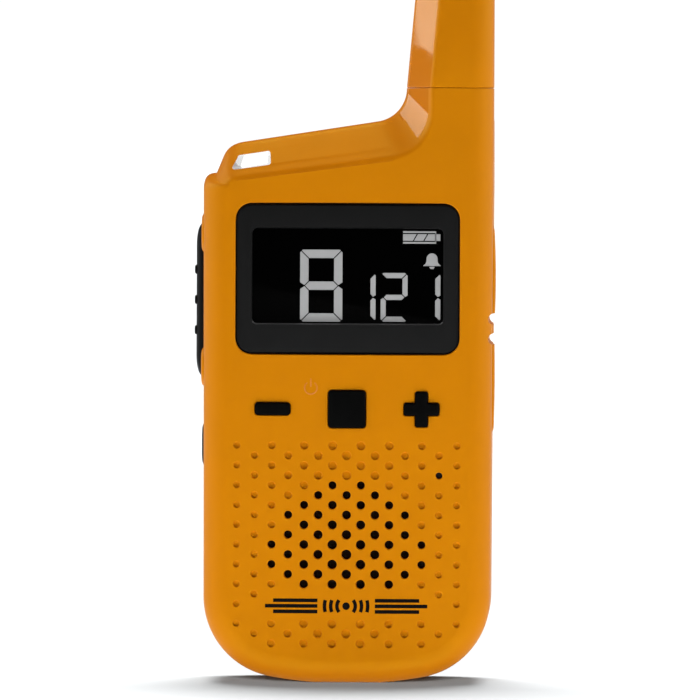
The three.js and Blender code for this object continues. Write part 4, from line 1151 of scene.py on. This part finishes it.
def port_anchor():
    outer = anchor_high[0]
    outline = rounded_rectangle(SIDE_Y, ANCHOR_Z, PORT_WIDTH, 3.7, 0.15, 4)
    block = tunnel(outline, "x", [(PORT_FLOOR + 0.1, 0), *reversed(soft_end(outer, -1, 0.7, 0.65))])
    block = cut(block, *hinge_grooves())
    add_piece("cover_anchor", block, "radio", SHELL, ["port_cover_anchor"], 35)


def port_covers():
    jack_hinge = anchor_high[2] + HINGE_GAP
    usb_hinge = anchor_low[2] - HINGE_GAP
    stations = [(PORT_FLOOR - 0.8, -0.2), (PORT_FLOOR - 0.5, 0), (PORT_FLOOR + 0.6, 0)]
    jack_plug = tunnel(circle(SIDE_Y, JACK_Z, 2.1), "x", stations)
    usb_plug = tunnel(rounded_rectangle(SIDE_Y, USB_Z, 2.4, 7.2, 0.5, 5), "x", stations)
    port_cover("jack_flap", "jack_flap", "jack_cover", jack_hinge, PORT_TOP, 0.35, jack_plug)
    port_cover("usb_flap", "usb_flap", "usb_cover", usb_hinge, PORT_BOTTOM, 0.2, usb_plug)


port_anchor()
port_covers()


# ---- Rear shell and battery door -------------------------------------------------------------

WELL_HALF, WELL_FLOOR, WELL_BOTTOM, WELL_TOP, WELL_WALL = 16.6, 0.5, 6.2, 56.4, 1.2
DOOR_HALF, DOOR_LIP, DOOR_LIP_DEPTH, DOOR_INNER = 16.6, 1.0, 0.9, 12.1
DOOR_TOP = limits("battery_door")[1][2]
PIVOT = (17.0, node_middle("belt_clip_pin")[2])
SCREWS = ["lower_left", "lower_right", "upper_left", "upper_right"]
SEAT = 8.0
REAR_START = SPLIT + PARTING
REAR_SOFTNESS = 1.6


def drop_at(depth):
    """How far the rear slope has fallen, by depth in from the back face, with a soft rear crease."""
    run, fall = BACK - REAR_START, RIDGE[0] - REAR_CREASE[0]
    start = REAR_SOFTNESS * run / math.hypot(run, fall)
    if depth < start:
        t = math.sqrt(max(0, depth / start))
        return bend(1 + REAR_SOFTNESS / fall, 1, 1 - start / run, t)
    return 1 - depth / run


def rear_body():
    full = BACK - REAR_START
    rings = []
    for depth in rounding_depths() + [EDGE + 0.2, 7, 9, full - SEAM, full]:
        seam = max(0, depth - full + SEAM)
        outline = rear_outline(round_inset(depth) + seam, drop_at(depth))
        rings.append([(x, BACK - depth, z) for x, z in outline])
    return loft(rings)


def door_channel(play):
    lip_top = DOOR_INNER + DOOR_LIP_DEPTH + play
    half = DOOR_HALF + play
    back = DOOR_INNER - (0.1 if play else 0)
    opening = box(-half, half, lip_top - 0.5, BACK + 1, -2, DOOR_TOP + play)
    groove = box(-half - DOOR_LIP, half + DOOR_LIP, back, lip_top, -2, DOOR_TOP + play)
    return joined(opening, groove)


def well_box(grow, start, end):
    half = WELL_HALF + grow
    return box(-half, half, start, end, WELL_BOTTOM - grow, WELL_TOP + grow)


def clip_ears():
    y, z = PIVOT
    outline = [(BACK - 1, z - 4.2), (BACK + 0.2, z - 3.4)]
    outline += arc(y, z, 2.6, -1.2, 1.2, 16) + [(BACK + 0.2, z + 3.4), (BACK - 1, z + 4.2)]
    return [bevelled(slab(outline, "x", *sorted((side * 3.4, side * 4.9))), 0.25, 2) for side in (-1, 1)]


def rear_shell():
    stations = [(REAR_START - 1, 0), (REAR_START, 0), (BACK - WALL, 9)]
    cavity = loft([[(x, y, z) for x, z in cavity_outline(shift)] for y, shift in stations])
    seat_half = DOOR_HALF + DOOR_LIP + 1.3
    seat = box(-seat_half, seat_half, DOOR_INNER - 0.1 - WELL_WALL, BACK, -1, DOOR_TOP + 1.5)
    posts, pockets = [], []
    for name in SCREWS:
        x, _, z = node_middle("housing_screw_" + name)
        posts.append(rod(x, z, 3.0, "y", REAR_START, BACK))
        pockets.append(tunnel(circle(x, z, 2.2), "y", [(SEAT, 0), (BACK - 3, 0), (BACK + 2, 0)]))
    hollow = cut(cavity, well_box(WELL_WALL, REAR_START - 2, BACK), seat, *posts)
    shell = joined(cut(rear_body(), hollow), well_box(WELL_WALL, WELL_FLOOR - WELL_WALL, REAR_START + 1))
    openings = [well_box(0, WELL_FLOOR, DOOR_INNER + 1), door_channel(0.2), lanyard_slot()]
    shell = cut(shell, *openings, *pockets, *hinge_grooves())
    pin_hole = rod(*PIVOT, 1.2, "x", -6, 6)
    shell = cut(joined(shell, *clip_ears()), pin_hole)
    add_piece("rear_shell", shell, "radio", SHELL, ["rear_housing"], 30, back_normal, in_slot)


def battery_door():
    door = boolean("INTERSECT", rear_body(), door_channel(0))
    grooves = []
    for i in range(6):
        bar = rounded_rectangle(0, 10 + 2.2 * i, 15 - abs(i - 2.5) * 1.2, 1.0, 0.49, 8)
        grooves.append(tunnel(bar, "y", [(BACK + 1, 0.6), (BACK - 0.45, -0.1)]))
    arrow = [(-3, 29.4), (3, 29.4), (0, 25.2)]
    grooves.append(slab(arrow, "y", BACK - 0.5, BACK + 1))
    door = cut(door, together(grooves))
    add_piece("battery_lid", door, "door", SHELL, ["battery_door"], 30, back_normal)


rear_shell()
battery_door()


def housing_screws():
    for name in SCREWS:
        node = "housing_screw_" + name
        x, _, z = node_middle(node)
        point, top = (corner[1] for corner in limits(node))
        head, shank, seat = 1.9, 0.85, SEAT + 0.05
        profile = [(0, point), (0.3, point), (shank, point + 0.8), (shank, seat), (head, seat)]
        for angle in (0.3, 0.7, 1.1, 1.5):
            profile.append((head - 0.6 * (1 - math.cos(angle)), top - 0.7 + 0.7 * math.sin(angle)))
        profile.append((0, top))
        recess = [box(x - 1.1, x + 1.1, top - 0.7, top + 1, z - 0.24, z + 0.24)]
        recess.append(box(x - 0.24, x + 0.24, top - 0.7, top + 1, z - 1.1, z + 1.1))
        screw = cut(turned(profile, "y", x, z, 28), *recess)
        add_piece(name + "_screw", screw, "radio", [bright_steel], [node], 35)


housing_screws()


# ---- Belt clip -------------------------------------------------------------------------------


def belt_clip():
    y, z = PIVOT
    inside = bezier((14.5, 51.2), (15.6, 53.6), (17.6, 55.4), 6)
    inside += bezier((18.6, 56.4), (19.9, 57.9), (19.9, 61), 6)
    inside += bezier((19.9, 84), (19.8, 88), (18.3, 91.6), 8) + [(17.3, 95.4)]
    outside = arc(17.95, 95.75, 0.7, math.pi * 0.75, 0.1, 6)
    outside += bezier((19.9, 93), (22, 88.5), (22, 84), 8)
    outside += bezier((22, 60.5), (22, 57.4), (20, 55), 6)
    outside += bezier((18, 53), (16.9, 51.6), (17.4, 50.2), 6)
    outside += [(18.3, 47.8), (17.6, 47.1), (16.9, 47.4), (15.4, 49.6)]
    blade = bevelled(slab(inside + outside, "x", -8, 8), 0.45, 3, 40)
    lugs = []
    for side in (-1, 1):
        outline = arc(y, z, 2.6, math.pi * 0.5, math.pi * 1.5, 18) + [(20.5, z - 3.6), (20.5, z + 3.6)]
        lugs.append(bevelled(slab(outline, "x", *sorted((side * 5.2, side * 7.95))), 0.2, 2))
    grooves = []
    for i in range(4):
        height = 88.6 + 1.6 * i
        depth = 22.05 - 0.42 * (i + 1) ** 1.25
        outline = rounded_rectangle(depth, height, 0.9, 0.7, 0.3, 4)
        grooves.append(tunnel(outline, "x", [(-6.2, 0), (6.2, 0)]))
    pin_hole = rod(y, z, 1.25, "x", -9, 9)
    clip = cut(joined(blade, *lugs), pin_hole, *grooves)
    add_piece("belt_clip_blade", clip, "clip", [clip_black], ["belt_clip"], 35)
    profile = [(0, -8.05), (0.8, -8.05), (1, -7.85), (1, 7.85), (0.8, 8.05), (0, 8.05)]
    pin = turned(profile, "x", y, z, 24)
    add_piece("clip_hinge_pin", pin, "radio", [bright_steel], ["belt_clip_pin"], 40)


def clip_spring():
    y, z = PIVOT
    radius, half, turns, leg = 1.75, 2.7, 4.5, 9
    steps = int(turns * 24)
    points = [(-half, 14.75, z - leg + i * 0.5) for i in range(14)]
    for i in range(steps + 1):
        angle = math.pi + math.tau * turns * i / steps
        x = lerp(-half, half, i / steps)
        points.append((x, y + radius * math.cos(angle), z - radius * math.sin(angle)))
    points += [(half, 19.3, z - 1.5 - i * 0.5) for i in range(15)]
    spring = wire(points, 0.28)
    add_piece("clip_spring", spring, "radio", [bright_steel], ["belt_clip_spring"], 60)


belt_clip()
clip_spring()


# ---- Batteries -------------------------------------------------------------------------------


def battery_cells():
    for number in (1, 2, 3):
        node = f"battery_cell_{number}"
        bottom, top = (corner[2] for corner in limits(node))
        x, y, _ = node_middle(node)
        profile = [(0, 0.15), (4.2, 0.15), (4.4, 0), (4.95, 0), (5.2, 0.25), (5.2, 42.9)]
        profile += [(4.9, 43.3), (4.3, 43.35), (4.2, 43.2), (2.5, 43.2), (2.4, 43.5)]
        profile += [(2.4, 44.2), (2.1, 44.5), (0, 44.5)]
        if number == 2:
            profile = [(r, top - h) for r, h in profile]
        else:
            profile = [(r, bottom + h) for r, h in profile]
        cell = turned(profile, "z", x, y, 40)
        finishes = [cell_wrap, bright_steel]

        def is_steel(face, x=x, y=y):
            return math.hypot(face.center.x - x, face.center.y - y) < 5

        add_piece(f"dry_cell_{number}", cell, "radio", finishes, [node], 30, second=is_steel)


def battery_springs():
    for number in (1, 2, 3):
        node = f"battery_spring_{number}"
        low, high = limits(node)
        middle_x, middle_y = node_middle(f"battery_cell_{number}")[:2]
        start, end = low[2] + 0.3, high[2] - 0.3
        if number == 2:
            start, end = end, start
        points = []
        turns, steps = 3, 96
        for i in range(steps + 1):
            t = i / steps
            angle = math.tau * turns * t
            radius = lerp(3.2, 1.7, t)
            x, y = middle_x + radius * math.cos(angle), middle_y + radius * math.sin(angle)
            points.append((x, y, lerp(start, end, t)))
        spring, name = wire(points, 0.27), f"contact_spring_{number}"
        add_piece(name, spring, "radio", [bright_steel], [node], 60)


battery_cells()
battery_springs()


# ---- Finishes of the CAD pieces that stay ----------------------------------------------------

INNER_FINISHES = {
    bright_steel: ["minus_dome", "menu_dome", "plus_dome", "speaker_magnet", "battery_contact_positive"]
    + ["battery_contact_negative", "battery_bridge_top", "battery_bridge_bottom"],
    tin_plate: ["ptt_switch", "side_key_switch", "usb_socket", "speaker_frame", "rf_shield"]
    + ["reference_crystal"],
    inner_black: ["antenna_core", "lcd_frame", "ptt_switch_stem", "side_key_switch_stem"]
    + ["audio_jack", "radio_chip", "microphone"],
    grey_silicone: ["housing_seal", "lcd_contact_strip", "keypad_web", "speaker_gasket"]
    + ["microphone_boot"],
    brass: ["antenna_terminal"],
    enamelled_copper: ["antenna_coil"],
    diffuser_white: ["lcd_backlight"],
    dark_glass: ["lcd_panel"],
    paper_cone: ["speaker_cone"],
    grille_cloth: ["speaker_mesh"],
    circuit_board: ["main_board"],
}
for finish, names in INNER_FINISHES.items():
    for name in names:
        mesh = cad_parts[name].data
        mesh.materials.clear()
        mesh.materials.append(finish)


# ---- Floor, light and camera -----------------------------------------------------------------


def floor():
    """Grey paper, lit until it is white, that runs so far back that it is the backdrop too."""
    mesh = bpy.data.meshes.new("floor")
    side, front, back = 5.0, -2.4, 30.0
    corners = [(-side, front, 0), (side, front, 0), (side, back, 0), (-side, back, 0)]
    mesh.from_pydata(corners, [], [(0, 1, 2, 3)])
    shading = Shading("floor_paper", Roughness=0.9, Specular_IOR_Level=0.03)
    darker, lighter = (0.079, 0.081, 0.082), (0.083, 0.085, 0.086)
    shading.link(shading.blend(shading.noise(60), darker, lighter), "Base Color")
    mesh.materials.append(shading.material)
    piece = add_object("floor", mesh)
    return piece


def add_lamp(name, kind, place, facing, power, **settings):
    data = bpy.data.lights.new(name, kind)
    data.energy = power
    for key, value in settings.items():
        setattr(data, key, value)
    lamp = add_object(name, data)
    lamp.location = place
    lamp.rotation_euler = Vector(facing).to_track_quat("-Z", "Y").to_euler()
    return lamp


def linking(name, piece, state="EXCLUDE"):
    """A collection for light linking that leaves a piece out, or holds it alone."""
    linked = bpy.data.collections.new(name)
    linked.objects.link(piece)
    linked.collection_objects[0].light_linking.link_state = state
    return linked


def studio(paper):
    """Softboxes at the sides and above for the radio, one below for its base, and two lamps for the
    paper."""
    white, warm = (1.0, 1.0, 1.0), (1.0, 0.82, 0.3)
    softboxes = [
        ("left_softbox", (-0.95, -0.05, 0.587), (1, 0, 0), (1.1, 0.74), 7.6, white),
        ("right_softbox", (0.95, -0.05, 0.587), (-1, 0, 0), (1.1, 0.74), 7.6, white),
        ("top_softbox", (0, 0.24, 1.3), (0, -0.2, -1), (0.6, 0.4), 9.5, warm),
        ("under_softbox", (0, -0.11, -0.085), (0, 0.75, 0.66), (0.3, 0.08), 0.19, white),
    ]
    for name, place, facing, (width, height), power, colour in softboxes:
        shape = {"shape": "RECTANGLE", "size": width, "size_y": height}
        lamp = add_lamp(name, "AREA", place, facing, power, color=colour, **shape)
        lamp.light_linking.receiver_collection = linking(name + "_receivers", paper)
        if place[2] < 0:  # below the paper, which must not shade the radio from it
            lamp.light_linking.blocker_collection = linking(name + "_blockers", paper)
    paper_lamps = [
        ("paper_lamp", (0, -0.4, -1), 37.5, 32),
        ("paper_fill", (-0.18, 7, -1), 52.0, 20),
    ]
    for name, facing, strength, angle in paper_lamps:
        lamp = add_lamp(name, "SUN", (0, 0, 3), facing, strength, angle=math.radians(angle))
        lamp.light_linking.receiver_collection = linking(name + "_receivers", paper, "INCLUDE")
    backdrop_light()
    bpy.context.scene.view_settings.view_transform = "Standard"


def backdrop_light():
    """A faint world, a little stronger low down, and bright straight behind the radio."""
    world = bpy.data.worlds.new("studio")
    world.use_nodes = True
    tree = world.node_tree
    direction = add_node(tree, "ShaderNodeTexCoord").outputs["Generated"]
    split = add_node(tree, "ShaderNodeSeparateXYZ", {0: direction})
    strengths = []
    for axis, low, high, start, end in (("Z", -0.1, 0.6, 0.22, 0.03), ("Y", 0.97, 0.99, 0, 0.85)):
        ends = {"From Min": low, "From Max": high, "To Min": start, "To Max": end}
        fade = add_node(tree, "ShaderNodeMapRange", {"Value": split.outputs[axis]} | ends)
        strengths.append(fade.outputs["Result"])
    total = add_node(tree, "ShaderNodeMath", dict(enumerate(strengths)))
    background = tree.nodes["Background"]
    tree.links.new(total.outputs[0], background.inputs["Strength"])
    background.inputs["Color"].default_value = (1, 1, 1, 1)
    bpy.context.scene.world = world


def camera():
    """A long lens, nearly straight in front and raised a little."""
    distance, field = 1.8, 0.1302
    azimuth, elevation, roll = (math.radians(angle) for angle in (1.5, 1.3, 0.25))
    target = Vector((0.00015, 0, 0.0613))
    level = Vector((math.sin(azimuth), -math.cos(azimuth), 0))
    back = level * math.cos(elevation) + Vector((0, 0, math.sin(elevation)))
    data = bpy.data.cameras.new("camera")
    data.sensor_width = 36
    data.lens = data.sensor_width * distance / field
    data.clip_start, data.clip_end = 0.1, 50
    lens = add_object("camera", data)
    lens.location = target + back * distance
    facing = (-back).to_track_quat("-Z", "Y")
    lens.rotation_euler = (facing.to_matrix() @ Matrix.Rotation(roll, 3, "Z")).to_euler()
    bpy.context.scene.camera = lens


studio(floor())
camera()
